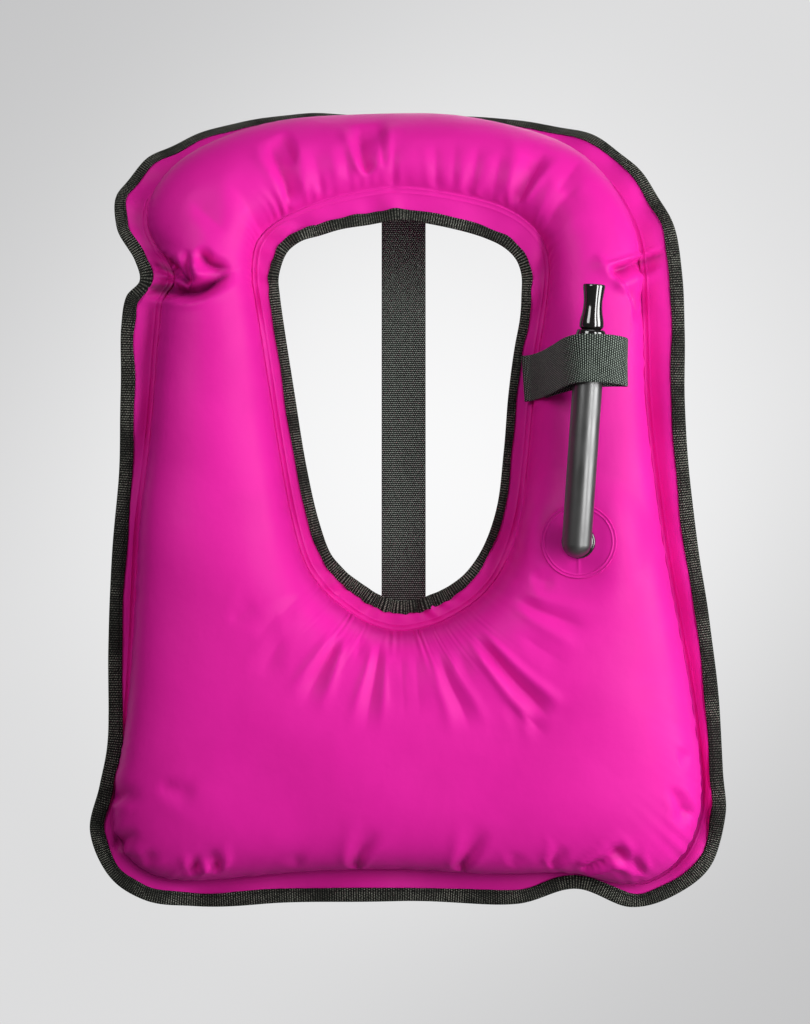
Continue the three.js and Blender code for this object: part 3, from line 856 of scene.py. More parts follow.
CREASES = (
    # The collar, from its left to its right.
    Crease(((-94, 58), (-88, 42), (-81, 24), (-78, 8)), 6.5, 6.0, 0.3, 0.2, 0.3, 0.25, 1.2, -0.5),
    Crease(((-88, 62), (-80, 50), (-74, 36)), 3.0, 5.0, -0.3, 0.2, 0.3, 0.4, 1.2, -0.4),
    Crease(((-150, 16), (-134, 2), (-118, -12)), 2.6, 9.0, 0.3, 0.1, 0.4, 0.5, 1.3, -0.2),
    Crease(
        ((-124, 30), (-110, 14), (-98, -8), (-92, -22)), 2.4, 8.0, 0.3, 0.1, 0.4, 0.5, 1.3, -0.3
    ),
    Crease(((-64, 52), (-58, 30), (-57, 16)), 1.8, 6.0, 0, 0.2, 0.3, 0.3, 1.2, -0.4),
    Crease(((-40, 56), (-38, 26)), 1.6, 5.0, 0, 0.2, 0.3, 0.3, 1.3, -0.3),
    Crease(((-31, 70), (-29, 48), (-25, 30)), 6.0, 5.6, 0.3, 0.25, 0.3, 0.2, 1.15, -0.5),
    Crease(((-20, 72), (-15, 52), (-14, 34)), 2.4, 4.4, -0.3, 0.2, 0.3, 0.3, 1.2, -0.4),
    Crease(((-6, 60), (-8, 15)), 1.2, 4.6, 0, 0.2, 0.3, 0.3, 1.3, -0.3),
    Crease(((22, 58), (23, 15)), 1.6, 4.6, 0.2, 0.2, 0.3, 0.3, 1.3, -0.3),
    Crease(((36, 58), (34, 19)), 1.4, 5.0, 0, 0.2, 0.3, 0.3, 1.3, -0.3),
    Crease(((52, 56), (47, 15)), 1.7, 5.0, 0, 0.2, 0.3, 0.3, 1.3, -0.3),
    Crease(((68, 50), (61, 12)), 1.5, 5.0, 0, 0.2, 0.3, 0.3, 1.3, -0.3),
    Crease(((99, 50), (88, 32), (76, 8)), 5.6, 5.6, -0.3, 0.25, 0.35, 0.2, 1.15, -0.5),
    Crease(((124, 26), (108, 12), (95, -10)), 3.2, 7.0, 0.2, 0.2, 0.35, 0.3, 1.2, -0.4),
    Crease(((126, 46), (114, 30), (106, 18)), 2.0, 6.0, 0, 0.2, 0.35, 0.3, 1.2, -0.3),
    # The pinched fold on the left shoulder.
    Crease(
        ((-182, -46), (-161, -48), (-147, -50), (-138, -48), (-124, -41), (-109, -31)),
        17.0, 4.6, 0, 0.12, 0.1, 0.4, 1.15, 0,
    ),
    Crease(
        ((-182, -25), (-171, -31), (-159, -37), (-147, -45)),
        10.0, 3.8, 0.35, 0.2, 0.35, 0.08, 1.1, 0,
    ),
    Crease(((-149, -20), (-149, -32), (-147, -45)), 6.0, 2.7, 0, 0.2, 0.5, 0.1, 1.2, 0),
    Crease(((-144, -24), (-141, -35), (-138, -44)), -3.5, 3.4, 0, 0.0, 0.4, 0.3, 1.8, 0),
    Crease(((-142, -20), (-132, -31), (-116, -34)), 10.5, 4.8, -0.2, 0.1, 0.35, 0.4, 1.15, 0),
    # The crossed fold on the right shoulder.
    Crease(
        ((129, -25), (138, -34), (147, -43), (156, -54)), -3.2, 4.6, -0.2, 0.0, 0.3, 0.3, 1.8, 0
    ),
    Crease(
        ((141, -35), (150, -43), (159, -56), (160, -74)), 6.0, 4.4, 0.5, 0.2, 0.35, 0.3, 1.15, 0
    ),
    Crease(
        ((138, -37), (151, -33), (166, -28), (184, -22)), 9.0, 4.0, -0.5, 0.3, 0.2, 0.1, 1.1, 0
    ),
    # Below the neck, from the wearer's right to left.
    Crease(((-84, -268), (-100, -287)), 1.0, 6.0),
    Crease(((-72, -259), (-86, -274)), 0.9, 5.0),
    Crease(((-80, -283), (-90, -299), (-94, -315)), 1.2, 6.0),
    Crease(((-118, -275), (-99, -262)), 0.9, 7.0),
    Crease(((-44, -285), (-51, -298), (-58, -312), (-69, -333)), 3.2, 4.4, 0, 0.5, 0.2, 0.35),
    Crease(((-29, -286), (-32, -303)), 1.4, 3.6),
    Crease(((-16, -289), (-19, -310), (-22, -326), (-27, -352)), 2.5, 4.0, 0, 0.45),
    Crease(((-12, -299), (-8, -333)), 0.8, 4.5),
    Crease(((-2, -295), (1, -345)), 0.8, 5.0),
    Crease(((8, -295), (11, -342)), 0.8, 4.5),
    Crease(((23, -293), (31, -316), (40, -334), (45, -351)), 2.1, 4.6, 0, 0.45),
    Crease(((38, -295), (45, -315)), 1.2, 5.0),
    Crease(
        ((48, -283), (60, -298), (76, -316), (89, -329), (98, -340)), 3.8, 4.6, 0, 0.5, 0.25, 0.25
    ),
    Crease(((70, -330), (84, -345)), 1.0, 5.0),
    Crease(((83, -338), (96, -351)), 1.5, 4.5),
    Crease(((74, -259), (92, -267), (110, -274), (128, -281)), 2.6, 5.0, 0, 0.4),
    Crease(((86, -244), (103, -250)), 1.5, 5.0),
    Crease(((78, -282), (98, -296), (112, -303)), 1.0, 6.0),
    # Along the bottom and in its corners.
    Crease(((-146, -450), (-143, -444), (-140, -434)), 5.0, 4.0, 0, 0.5, 0.05, 0.6),
    Crease(((-129, -449), (-130, -442), (-135, -429)), 5.0, 4.2, 0, 0.5, 0.05, 0.6),
    Crease(((-34, -448), (-27, -432), (-15, -416)), 4.0, 5.0, 0.3, 0.3, 0.05, 0.6, 1.2),
    Crease(((38, -450), (48, -433), (58, -415)), 4.6, 5.0, 0.3, 0.3, 0.05, 0.6, 1.2),
    Crease(((101, -446), (106, -438), (112, -428)), 3.0, 4.0, 0, 0.45, 0.1, 0.6),
    Crease(((122, -450), (136, -442), (146, -436), (156, -433)), 4.5, 4.0, 0, 0.6, 0.1, 0.4),
    Crease(((153, -445), (148, -436), (138, -424)), 3.2, 4.2, 0, 0.5, 0.1, 0.6),
    Crease(((165, -452), (159, -442), (155, -430)), 3.0, 4.0, 0, 0.5, 0.1, 0.6),
    Crease(((-72, -446), (-76, -434)), 1.2, 4.5),
    Crease(((74, -446), (79, -434)), 1.3, 4.5),
    Crease(((-204, -442), (-194, -430), (-180, -420)), 4.6, 4.6, 0, 0.3, 0.1, 0.5, 1.2),
    Crease(((-178, -446), (-172, -434)), 2.4, 4.2, 0, 0.4, 0.1, 0.5),
    Crease(((-168, -385), (-154, -391), (-140, -393)), 2.0, 6.0),
    Crease(((-206, -404), (-194, -398), (-176, -395)), 4.2, 5.0, 0.2, 0.3, 0.1, 0.6, 1.2),
    Crease(((184, -388), (191, -404), (195, -420)), 3.8, 4.5, 0, 0.3, 0.3, 0.3, 1.2),
    Crease(((202, -412), (190, -404)), 2.2, 4.5),
    Crease(((198, -368), (188, -372)), 1.6, 5.0),
)


def pressed_in(points: np.ndarray) -> np.ndarray:
    """How far all the folds together press each point in."""
    return sum(crease.depth_at(points[..., 0], points[..., 2]) for crease in CREASES)


# ---- fabric -------------------------------------------------------------------------------------


@dataclass(frozen=True)
class AirChamber:
    """The inflated fabric between the welds: a stretched membrane under even pressure."""

    pattern: Pattern
    columns: int = 72
    crown: float = 58 * MM
    fullness: float = 0.84
    lump_height: float = 1.1 * MM
    # Station, and the share of the full height the fabric reaches there.
    rise: StationTable = (
        (0, 0.76), (3, 0.77), (5, 0.86), (7, 1), (35, 1), (37, 0.93), (39, 0.82), (41, 0.76),
    )
    pucker_height: float = 0.75 * MM
    normal_share: float = 0.65
    lump_layers: int = 9
    # How much of its height above the weld a fold may take, and how much more.
    fold_share: float = 0.85
    fold_extra: float = 2.0 * MM

    def heights(self, ribs: Ribs) -> tuple[np.ndarray, np.ndarray]:
        """Solves how high the front rises above the welds' plane.

        Args:
            ribs: The lines the chamber is built on.

        Returns:
            The flat points between the welds, and the height over each of them.
        """
        share = 0.5 * (1 - np.cos(np.pi * np.arange(self.columns + 1) / self.columns))
        way = ribs.outer_weld - ribs.neck_weld
        flat = ribs.neck_weld[:, None] + way[:, None] * share[None, :, None]
        height = np.sqrt(2 * np.maximum(membrane_height(flat), 0))
        height = self.pattern.full_depth * np.tanh(height / self.pattern.full_depth)
        rise = smoothed(by_station(self.rise, ribs.share), 0.01)
        return flat, self.crown * (height / self.crown) ** self.fullness * rise[:, None]

    def panel(
        self, flat: np.ndarray, height: np.ndarray, front: np.ndarray, side: float
    ) -> np.ndarray:
        """Raises one side of the chamber and spaces its columns evenly over it.

        Args:
            flat: The points between the welds.
            height: The front's height over each of them.
            front: The way out of the flat, for each rib.
            side: 1 for the front, and a negative share of it for the back.

        Returns:
            Ribs by columns by three.
        """
        raised = flat + front[:, None] * (height * side)[..., None]
        step = np.linalg.norm(np.diff(raised, axis=1), axis=2)
        along = np.concatenate([np.zeros((len(raised), 1)), np.cumsum(step, 1)], 1)
        wanted = np.linspace(0, 1, self.columns + 1)
        even = np.empty_like(raised)
        for i, row in enumerate(raised):
            for axis in range(3):
                even[i, :, axis] = np.interp(wanted * along[i, -1], along[i], row[:, axis])
        return even

    def crumpled(self, ribs: Ribs, skin: np.ndarray, seed: int, creased: bool) -> np.ndarray:
        """Adds lumps, puckers at the welds and the folds.

        Args:
            ribs: The lines the chamber is built on.
            skin: One side of the chamber.
            seed: Picks the lumps and puckers.
            creased: Whether the folds are pressed in.

        Returns:
            The side's new points.
        """
        depth = np.linspace(0, 1, skin.shape[1])
        inside = np.minimum(depth, 1 - depth)
        normal = surface_normals(skin)
        facing = np.sum(normal * ribs.front[:, None], axis=-1)
        normal = normal * np.sign(facing.mean())
        # Near the welds everything moves straight out, and inside them partly along the normal.
        turned = self.normal_share * ease(inside / 0.05)[None, :, None]
        straight = ribs.front[:, None] * np.sign(normal[..., 1:2].mean() * -1)
        way = unit(straight * (1 - turned) + normal * turned)
        rng = np.random.default_rng(seed)
        lumps = np.zeros(skin.shape[:2])
        for _ in range(self.lump_layers):
            angle, phase = rng.uniform(0, 2 * np.pi, 2)
            pitch = rng.uniform(0.07, 0.16)
            turn = np.array([np.cos(angle), 0, np.sin(angle)]) * 2 * np.pi / pitch
            lumps += np.sin(skin @ turn + phase) / 4
        out = lumps * self.lump_height * ease(inside / 0.25)[None]
        for edge, counts, where in (
            (depth, (83, 109, 139), seed + 1),
            (1 - depth, (97, 131, 163), seed + 2),
        ):
            strength = 0.35 + 0.65 * np.clip(waves(ribs.share, (5, 9, 14), where + 50), 0, 1)
            gather = waves(ribs.share, counts, where) * strength * self.pucker_height
            out += gather[:, None] * (bell(edge, 0.16) * ease(edge / 0.03))[None]
        if creased:
            pressed = pressed_in(skin)
            above = (skin - ribs.outer_weld[:, None]) * ribs.front[:, None]
            deepest = np.abs(np.sum(above, axis=-1)) * self.fold_share + self.fold_extra
            out -= np.where(pressed > 0, deepest * np.tanh(pressed / deepest), pressed)
        return skin + way * out[..., None]


@dataclass(frozen=True)
class ValveSeat:
    """Where the valve flange lies against the front."""

    centre: tuple = (119.0 * MM, -48.9 * MM, -220.4 * MM)
    normal: tuple = (0.156, 0.9877, -0.0101)
    flat_radius: float = 19 * MM
    eased_radius: float = 52 * MM

    def flattened(self, skin: np.ndarray) -> np.ndarray:
        """Draws the fabric round the valve onto the flange's plane.

        Args:
            skin: The front's points.

        Returns:
            The points with the ones near the valve moved.
        """
        centre, normal = np.array(self.centre), np.array(self.normal)
        off = skin - centre
        radius = np.hypot(off[..., 0], off[..., 2])
        share = ease((self.eased_radius - radius) / (self.eased_radius - self.flat_radius))
        out = skin.copy()
        out[..., 1] -= share * (off @ normal) / normal[1]
        return out


@dataclass(frozen=True)
class FlangeShape:
    """The flat welded border: its raised weld lines and its slow waves."""

    half_gap: float = 0.4 * MM
    weld_lines: tuple = (0.9 * MM, 4.1 * MM)
    line_width: float = 0.42 * MM
    line_height: float = 0.42 * MM
    neck_wave: float = 1.2 * MM
    outer_wave: float = 2.8 * MM
    deepest: float = 3.0 * MM
    edge_inset: float = 2.0 * MM
    # Station, and how far in mm the outer edge curls forward there.
    curl_mm: StationTable = (
        (0, 0), (5, 0), (7, 4.5), (9, 6.0), (12, 6.5), (15, 5.0), (17, 2.0), (19, 0), (26, 0),
        (28, 2.5), (32, 3.0), (34, 1.5), (36, 0),
    )
    # The width along the edge that the tape holds, where a fold doesn't reach.
    taped: float = 12.5 * MM
    # Columns close to the weld, in mm from it.
    near_weld_mm: tuple = (0.0, 0.5, 0.9, 1.3, 2.0, 3.0, 3.7, 4.1, 4.5, 5.5)
    far_columns: int = 5

    def distances(self, width: np.ndarray) -> np.ndarray:
        """How far each column lies from the weld, ribs by columns."""
        near = np.array(self.near_weld_mm) * MM
        share = np.arange(1, self.far_columns + 1) / self.far_columns
        far = near[-1] + (width[:, None] - self.edge_inset - near[-1]) * share[None]
        return np.concatenate([np.repeat(near[None], len(width), 0), far], 1)

    def relief(self, distance: np.ndarray) -> np.ndarray:
        """The raised weld lines' height."""
        lines = sum(bell(distance - line, self.line_width) for line in self.weld_lines)
        return lines * self.line_height


@dataclass(frozen=True)
class PaintedShade:
    """Where shade is painted into the fabric: down in the folds and in the groove along the outer
    weld.

    The groove's painted shade is faint at the sides and stronger along the bottom.
    """

    fold_from: float = 2.5 * MM
    fold_range: float = 11 * MM
    fold_share: float = 0.85
    low_from: float = -0.36
    low_range: float = 0.08
    groove_width: float = 3.0 * MM
    groove_widening: float = 3.5 * MM
    groove_share: float = 0.15
    groove_deepening: float = 0.6
    most: float = 0.9


class FabricShell:
    """The two coated panels, with their welded borders."""

    # The shade painted into folds and the weld groove.
    shade_paint: PaintedShade = PaintedShade()

    def __init__(self, pattern: Pattern = Pattern()) -> None:
        """Solves the fabric's shape.

        Args:
            pattern: How the panels are cut.
        """
        self.pattern = pattern
        self.flange = FlangeShape()
        self.ribs = pattern.ribs()
        r = self.ribs
        self.neck_sway = waves(r.share, (13, 19, 27), 3) * self.flange.neck_wave
        self.outer_sway = (
            waves(r.share, (9, 17, 29, 37), 8) * self.flange.outer_wave
            * (0.55 + 0.45 * waves(r.share, (3, 5), 9))
            + smoothed(by_station(self.flange.curl_mm, r.share) * MM, 0.01)
        )
        chamber = AirChamber(pattern)
        flat, height = chamber.heights(r)
        front = ValveSeat().flattened(chamber.panel(flat, height, r.front, 1.0))
        back = chamber.panel(flat, height, r.front, -pattern.back_share)
        self.front_points = self._sheet(chamber.crumpled(r, front, 21, True), 1.0)
        self.back_points = self._sheet(chamber.crumpled(r, back, 34, False)[:, ::2], -1.0)

    def _sheet(self, skin: np.ndarray, side: float) -> np.ndarray:
        """Joins the neck border, the chamber's skin and the outer border into one sheet.

        Args:
            skin: One side of the chamber.
            side: 1 for the front and -1 for the back.

        Returns:
            The sheet, ribs by columns by three.
        """
        r, flange = self.ribs, self.flange
        borders = []
        for weld, edge, normal, sway in (
            (r.neck_weld, r.neck, np.broadcast_to(TO_VIEWER, r.neck.shape), self.neck_sway),
            (r.outer_weld, r.outer, r.front, self.outer_sway),
        ):
            width = np.linalg.norm(edge - weld, axis=1)
            distance = flange.distances(width)
            share = distance / width[:, None]
            points = weld[:, None] + (edge - weld)[:, None] * share[..., None]
            open_share = distance / (width[:, None] - flange.taped)
            pressed = pressed_in(points)
            pressed = self.flange.deepest * np.tanh(pressed / self.flange.deepest)
            lift = sway[:, None] * ease(open_share) - pressed * (1 - ease(open_share * 2 - 1))
            clear = 0.25 + 0.75 * ease(distance / (0.4 * MM))
            raised = side * (flange.half_gap + flange.relief(distance) * clear)
            borders.append(points + normal[:, None] * (lift + raised)[..., None])
        neck, outer = borders
        return np.concatenate([neck[:, :0:-1], skin, outer[:, 1:]], 1)

    def _painted_shade_share(self, points: np.ndarray, creased: bool) -> np.ndarray:
        """How much shade is painted at each point, down in a fold or in the groove along the outer
        weld.

        Args:
            points: One of the sheets.
            creased: Whether the folds are in it.

        Returns:
            A share from 0 to 1 for each point.
        """
        pressed = pressed_in(points) if creased else np.zeros(points.shape[:2])
        shade_paint, weld = self.shade_paint, self.ribs.outer_weld
        from_weld = np.linalg.norm(points - weld[:, None], axis=-1)
        lowness = ease((shade_paint.low_from - weld[:, 2]) / shade_paint.low_range)[:, None]
        groove = bell(from_weld, shade_paint.groove_width + shade_paint.groove_widening * lowness)
        groove = groove * (shade_paint.groove_share + shade_paint.groove_deepening * lowness)
        fold = ease((pressed - shade_paint.fold_from) / shade_paint.fold_range) * shade_paint.fold_share
        return np.clip(fold + groove, 0, shade_paint.most)

    def build(self, materials: Materials) -> tuple[bpy.types.Object, bpy.types.Object]:
        """Makes the two panels.

        Args:
            materials: The finishes.

        Returns:
            The front and the back panel.
        """
        made = []
        for name, points, flip in (
            ("front_panel_fabric", self.front_points, True),
            ("back_panel_fabric", self.back_points, False),
        ):
            obj = grid_mesh(name, points, True, False, flip)
            # Painted shade for folds and the weld groove, read by the fabric's colour.
            painted_shade = obj.data.attributes.new(PAINTED_SHADE, "FLOAT", "POINT")
            painted_shade.data.foreach_set("value", self._painted_shade_share(points, flip).astype(np.float32).ravel())
            materials.dress(obj, Finish.COATED_NYLON)
            LOG.info("%s: %d points", name, len(obj.data.vertices))
            made.append(obj)
        return made[0], made[1]


# Station, and the tape's folded width in mm there.
OUTER_TAPE_MM = (
    (0, 8.2), (4, 8.2), (7, 9.4), (16, 10.0), (26, 10.2), (33, 9.6), (37, 8.4), (42, 7.6),
)
NECK_TAPE_MM = (
    (0, 8.0), (4, 7.6), (7, 6.6), (9, 5.8), (12, 5.8), (14, 8.0), (16, 9.3), (26, 9.3), (29, 7.6),
    (36, 7.2), (39, 7.8), (42, 8.2),
)


@dataclass(frozen=True)
class Binding:
    """Woven tape folded over an edge and stitched down."""

    width_mm: StationTable
    ruffle: float
    drawn_width: float = 9.8 * MM
    half_thickness: float = 1.6 * MM
    lining: float = 0.9 * MM
    leg_steps: int = 7
    fold_steps: int = 6

    def section(self) -> tuple[np.ndarray, np.ndarray]:
        """The outline of a tape as wide as drawn.

        Returns:
            The distance in from the edge, and the height over the middle of the fabric.
        """
        h, w = self.half_thickness, self.drawn_width
        leg = np.linspace(w, h, self.leg_steps)
        crown = h + 0.25 * MM * np.sin(np.pi * np.linspace(0, 1, self.leg_steps))
        turn = np.linspace(np.pi / 2, 3 * np.pi / 2, self.fold_steps + 2)[1:-1]
        inner = np.array([w, 2.6 * MM, 2.0 * MM])
        distance = np.concatenate([leg, h + h * np.cos(turn), leg[::-1], inner, inner[::-1]])
        lining = np.full(3, self.lining)
        height = np.concatenate([crown, h * np.sin(turn), -crown[::-1], -lining, lining])
        return distance, height

    def build(
        self,
        name: str,
        share: np.ndarray,
        edge: np.ndarray,
        inward: np.ndarray,
        normal: np.ndarray,
        seed: int,
    ) -> bpy.types.Object:
        """Folds the tape over a closed edge.

        Args:
            name: The piece's name.
            share: How far round the jacket each of the edge's points lies.
            edge: The edge's points.
            inward: Roughly the way from the edge into the fabric.
            normal: The way out of the fabric's front.
            seed: Picks the ruffles.

        Returns:
            The tape.
        """
        along = unit(smoothed(np.roll(edge, -1, 0) - np.roll(edge, 1, 0), 0.002))
        into = unit(np.cross(normal, along))
        into *= np.sign(np.sum(into * inward, axis=1).mean())
        out = unit(np.cross(along, into))
        out *= np.sign(np.sum(out * normal, axis=1).mean())
        distance, height = self.section()
        ruffle = waves(share, (151, 211, 277), seed)[:, None] * self.ruffle
        ruffle = ruffle * (distance / self.drawn_width)[None]
        width = by_station(self.width_mm, share) * MM / self.drawn_width
        spread = (width * (1 + 0.05 * waves(share, (23, 41), seed + 1)))[:, None]
        points = (
            edge[:, None]
            + into[:, None] * (distance[None] * spread)[..., None]
            + out[:, None] * (height[None] + ruffle)[..., None]
        )
        length = run_length(np.roll(edge, -1, 0) - edge)
        across = np.append(distance, distance[0])
        uv = np.stack(np.broadcast_arrays(length[:, None], across[None]), -1)
        obj = grid_mesh(name, points, True, True, uv=uv)
        outward_faces(obj)
        return obj


def outward_faces(obj: bpy.types.Object) -> None:
    """Turns a closed mesh's faces outward."""
    with editing(obj) as mesh:
        bmesh.ops.recalc_face_normals(mesh, faces=mesh.faces)
    shade_smooth(obj)


def join_meshes(name: str, parts: Sequence[bpy.types.Object]) -> bpy.types.Object:
    """Makes one object of several, which it removes.

    Args:
        name: The new object's name.
        parts: The objects to join, with all their vertices in the row frame.

    Returns:
        The new object.
    """
    bpy.ops.object.select_all(action="DESELECT")
    for part in parts:
        part.select_set(True)
    bpy.context.view_layer.objects.active = parts[0]
    bpy.ops.object.join()
    parts[0].name = name
    parts[0].data.name = name
    return parts[0]


# ---- webbing ------------------------------------------------------------------------------------


@dataclass(frozen=True)
class Webbing:
    """A flat woven strap laid along a route."""

    name: str
    node: str
    body: str
    route_mm: tuple[tuple[float, float, float], ...]
    side: tuple[float, float, float] = UP
    width: float = 32 * MM
    thickness: float = 1.5 * MM
    ripple: float = 0.0
    columns: int = 14
    step: float = 1.6 * MM

    def outline(self) -> tuple[np.ndarray, np.ndarray]:
        """The strap's section, going once round.

        Returns:
            The places across the strap, and the heights over its middle.
        """
        w, t = self.width / 2, self.thickness / 2
        flat = np.linspace(-w + t, w - t, self.columns)
        turn = np.linspace(0, np.pi, 5)[1:-1]
        edge, face = w - t + t * np.sin(turn), np.full(self.columns, t)
        across = np.concatenate([flat, edge, flat[::-1], -edge])
        height = np.concatenate([face, t * np.cos(turn), -face, -t * np.cos(turn)])
        return across, height

    def build(self, materials: Materials) -> bpy.types.Object:
        """Makes the strap and its looks.

        Args:
            materials: The finishes.

        Returns:
            The strap, riding its body in place of its CAD node.
        """
        line = evenly(self.route_mm, self.step / MM) * MM
        along = unit(np.gradient(line, axis=0))
        side = np.array(self.side)
        out = unit(np.cross(along, side))
        side = unit(np.cross(out, along))
        across, height = self.outline()
        length = run_length(np.diff(line, axis=0))
        wave = self.ripple * np.sin(length[:, None] / (5.5 * MM)) * np.cos(across[None] / (9 * MM))
        points = (
            line[:, None]
            + side[:, None] * across[None, :, None]
            + out[:, None] * (height[None] + wave)[..., None]
        )
        uv_across = np.append(across, across[0])
        uv = np.stack(np.broadcast_arrays(length[:, None], uv_across[None]), -1)
        obj = grid_mesh(self.name, points, False, True, uv=uv)
        close_ends(obj, len(line), len(across))
        outward_faces(obj)
        materials.dress(obj, Finish.WEBBING)
        settle(obj, self.body, (self.node,), Finish.WEBBING)
        return obj


def close_ends(obj: bpy.types.Object, rows: int, columns: int) -> None:
    """Closes both ends of a tube made by grid_mesh.

    Args:
        obj: The tube.
        rows: How many rings of points it has.
        columns: How many points each ring has.
    """
    with editing(obj) as mesh:
        mesh.verts.ensure_lookup_table()
        mesh.faces.new([mesh.verts[k] for k in range(columns)])
        mesh.faces.new([mesh.verts[(rows - 1) * columns + k] for k in range(columns)][::-1])


def settle(obj: bpy.types.Object, body: str, nodes: Sequence[str], finish: Finish) -> None:
    """Hands a finished piece to the frame.

    Args:
        obj: The piece.
        body: The body it rides.
        nodes: The CAD nodes it stands for.
        finish: Its finish, which names the record's slot.
    """
    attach(obj, body)
    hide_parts(*nodes)
    LOG.info("%s rides %s for %s, %s", obj.name, body, ", ".join(nodes), finish.value)


BELT_Z_MM = -362
HARNESS = (
    Webbing(
        "hose_keeper_loop",
        "hose_keeper",
        "jacket",
        (
            (83.5, -3.4, -110.0), (88.0, -7.0, -109.5), (91.5, -16, -108.5),
            (96, -33, -106.5), (102.5, -54, -102.5), (109, -71, -98.5), (117, -79, -96.5),
            (130, -80.5, -96.5), (141, -78, -97.5), (148, -72, -99), (149.5, -65, -99.5),
            (146, -59.5, -99.5), (137, -55.5, -99.5), (124, -51.5, -100.5), (111, -44.5, -102.5),
            (102.3, -34, -105.5), (97, -22, -107.5), (93, -9, -108.5), (90.5, -4.5, -108.5),
        ),
        UP, 32 * MM, 1.3 * MM, 0.3 * MM,
    ),
    Webbing(
        "back_strap_webbing",
        "back_strap",
        "jacket",
        tuple(
            (0, y, z)
            for y, z in (
                (93.5, 76.9), (86, 71.5), (81, 66), (79.8, 58), (79, 46), (66, -140), (55.5, -290),
                (54, -328), (54.4, -336), (55.5, -344), (55.5, -362), (55.5, -377.5), (55, -380),
                (53.5, -380.9), (52, -380), (51.6, -377.5), (51.6, -362), (51.6, -330),
            )
        ),
        SIDE,
    ),
    Webbing(
        "belt_left_webbing",
        "belt_left",
        "jacket",
        tuple(
            (x, y, BELT_Z_MM)
            for x, y in (
                (-207.5, 3.9), (-203, 9), (-197.5, 21), (-187, 35.5), (-170, 46.5), (-150, 51.3),
                (-128, 53.3), (-100, 53.5), (30, 53.5), (45, 53.5), (48, 54.1), (49.2, 56.4),
                (48, 58.7), (45, 59.2), (40, 56.9), (35, 55.5), (21, 55.5),
            )
        ),
    ),
    Webbing(
        "belt_right_webbing",
        "belt_right",
        "jacket",
        tuple(
            (x, y, BELT_Z_MM)
            for x, y in (
                (217.5, 3.9), (212.5, 10), (205, 23), (192, 37), (173, 47.5), (153, 51.8),
                (138, 53.3), (118, 53.5), (99.4, 53.5), (96.4, 53.9), (95.4, 55.5), (95.4, 58.5),
                (96.4, 60.2), (98.9, 60.8), (105.4, 60.8), (108.6, 59.9), (112.9, 56.8),
                (116.4, 55.5), (138, 55.4), (154, 53.7), (166, 51.5),
            )
        ),
    ),
)


class Harness:
    """The straps, the belt and the buckle behind the jacket."""

    merge: float = 0.01 * MM
    flat_angle: float = math.radians(1)
    sharp_angle: float = math.radians(35)
    band_rounding: float = 0.25 * MM
    buckle_rounding: float = 0.5 * MM

    def __init__(self, frame: dict, materials: Materials) -> None:
        """Keeps what the pieces are made from.

        Args:
            materials: The finishes.
        """
        self.nodes = frame["nodes"]
        self.materials = materials

    def build(self) -> None:
        """Makes every strap and buckle piece."""
        for strap in HARNESS:
            strap.build(self.materials)
        webbing, moulded = Finish.WEBBING, Finish.MOULDED_BLACK
        band, buckle = self.band_rounding, self.buckle_rounding
        for name, node, body, finish, radius in (
            ("tail_band_webbing", "tail_keeper", "belt_tail_band", webbing, band),
            ("buckle_socket_moulding", "buckle_socket", "jacket", moulded, buckle),
            ("buckle_plug_moulding", "buckle_plug", "jacket", moulded, buckle),
            ("buckle_upper_prong_moulding", "buckle_prong_upper", "upper_prong", moulded, buckle),
            ("buckle_lower_prong_moulding", "buckle_prong_lower", "lower_prong", moulded, buckle),
        ):
            self._softened(name, node, body, finish, radius)

    def _softened(self, name: str, node: str, body: str, finish: Finish, radius: float) -> None:
        """Copies a CAD piece's shape and rounds its edges.

        Args:
            name: The new piece's name.
            node: The CAD piece.
            body: The body it rides.
            finish: Its finish.
            radius: How far back from an edge the rounding starts.
        """
        cad = self.nodes[node]
        obj = linked(name, cad.data.copy())
        obj.data.name = name
        with editing(obj) as mesh:
            bmesh.ops.remove_doubles(mesh, verts=mesh.verts, dist=self.merge)
            bmesh.ops.dissolve_limit(
                mesh, angle_limit=self.flat_angle, verts=mesh.verts, edges=mesh.edges
            )
            sharp = [
                edge
                for edge in mesh.edges
                if len(edge.link_faces) == 2 and edge.calc_face_angle(0) > self.sharp_angle
            ]
            bmesh.ops.bevel(
                mesh, geom=sharp, offset=radius, segments=3, profile=0.5, affect="EDGES",
                clamp_overlap=True,
            )
        shade_smooth(obj)
        if STRIP_MAP not in obj.data.uv_layers:
            self._box_uv(obj)
        tidy = obj.modifiers.new("even_shading", "WEIGHTED_NORMAL")
        tidy.keep_sharp = True
        self.materials.dress(obj, finish)
        settle(obj, body, (node,), finish)

    @staticmethod
    def _box_uv(obj: bpy.types.Object) -> None:
        """Lays out the strip map along X and across Z."""
        layer = obj.data.uv_layers.new(name=STRIP_MAP)
        corners = np.empty(len(obj.data.loops), np.int32)
        obj.data.loops.foreach_get("vertex_index", corners)
        points = np.empty(len(obj.data.vertices) * 3, np.float32)
        obj.data.vertices.foreach_get("co", points)
        flat = points.reshape(-1, 3)[corners][:, [0, 2]]
        layer.data.foreach_set("uv", flat.ravel())


# ---- inflator -----------------------------------------------------------------------------------


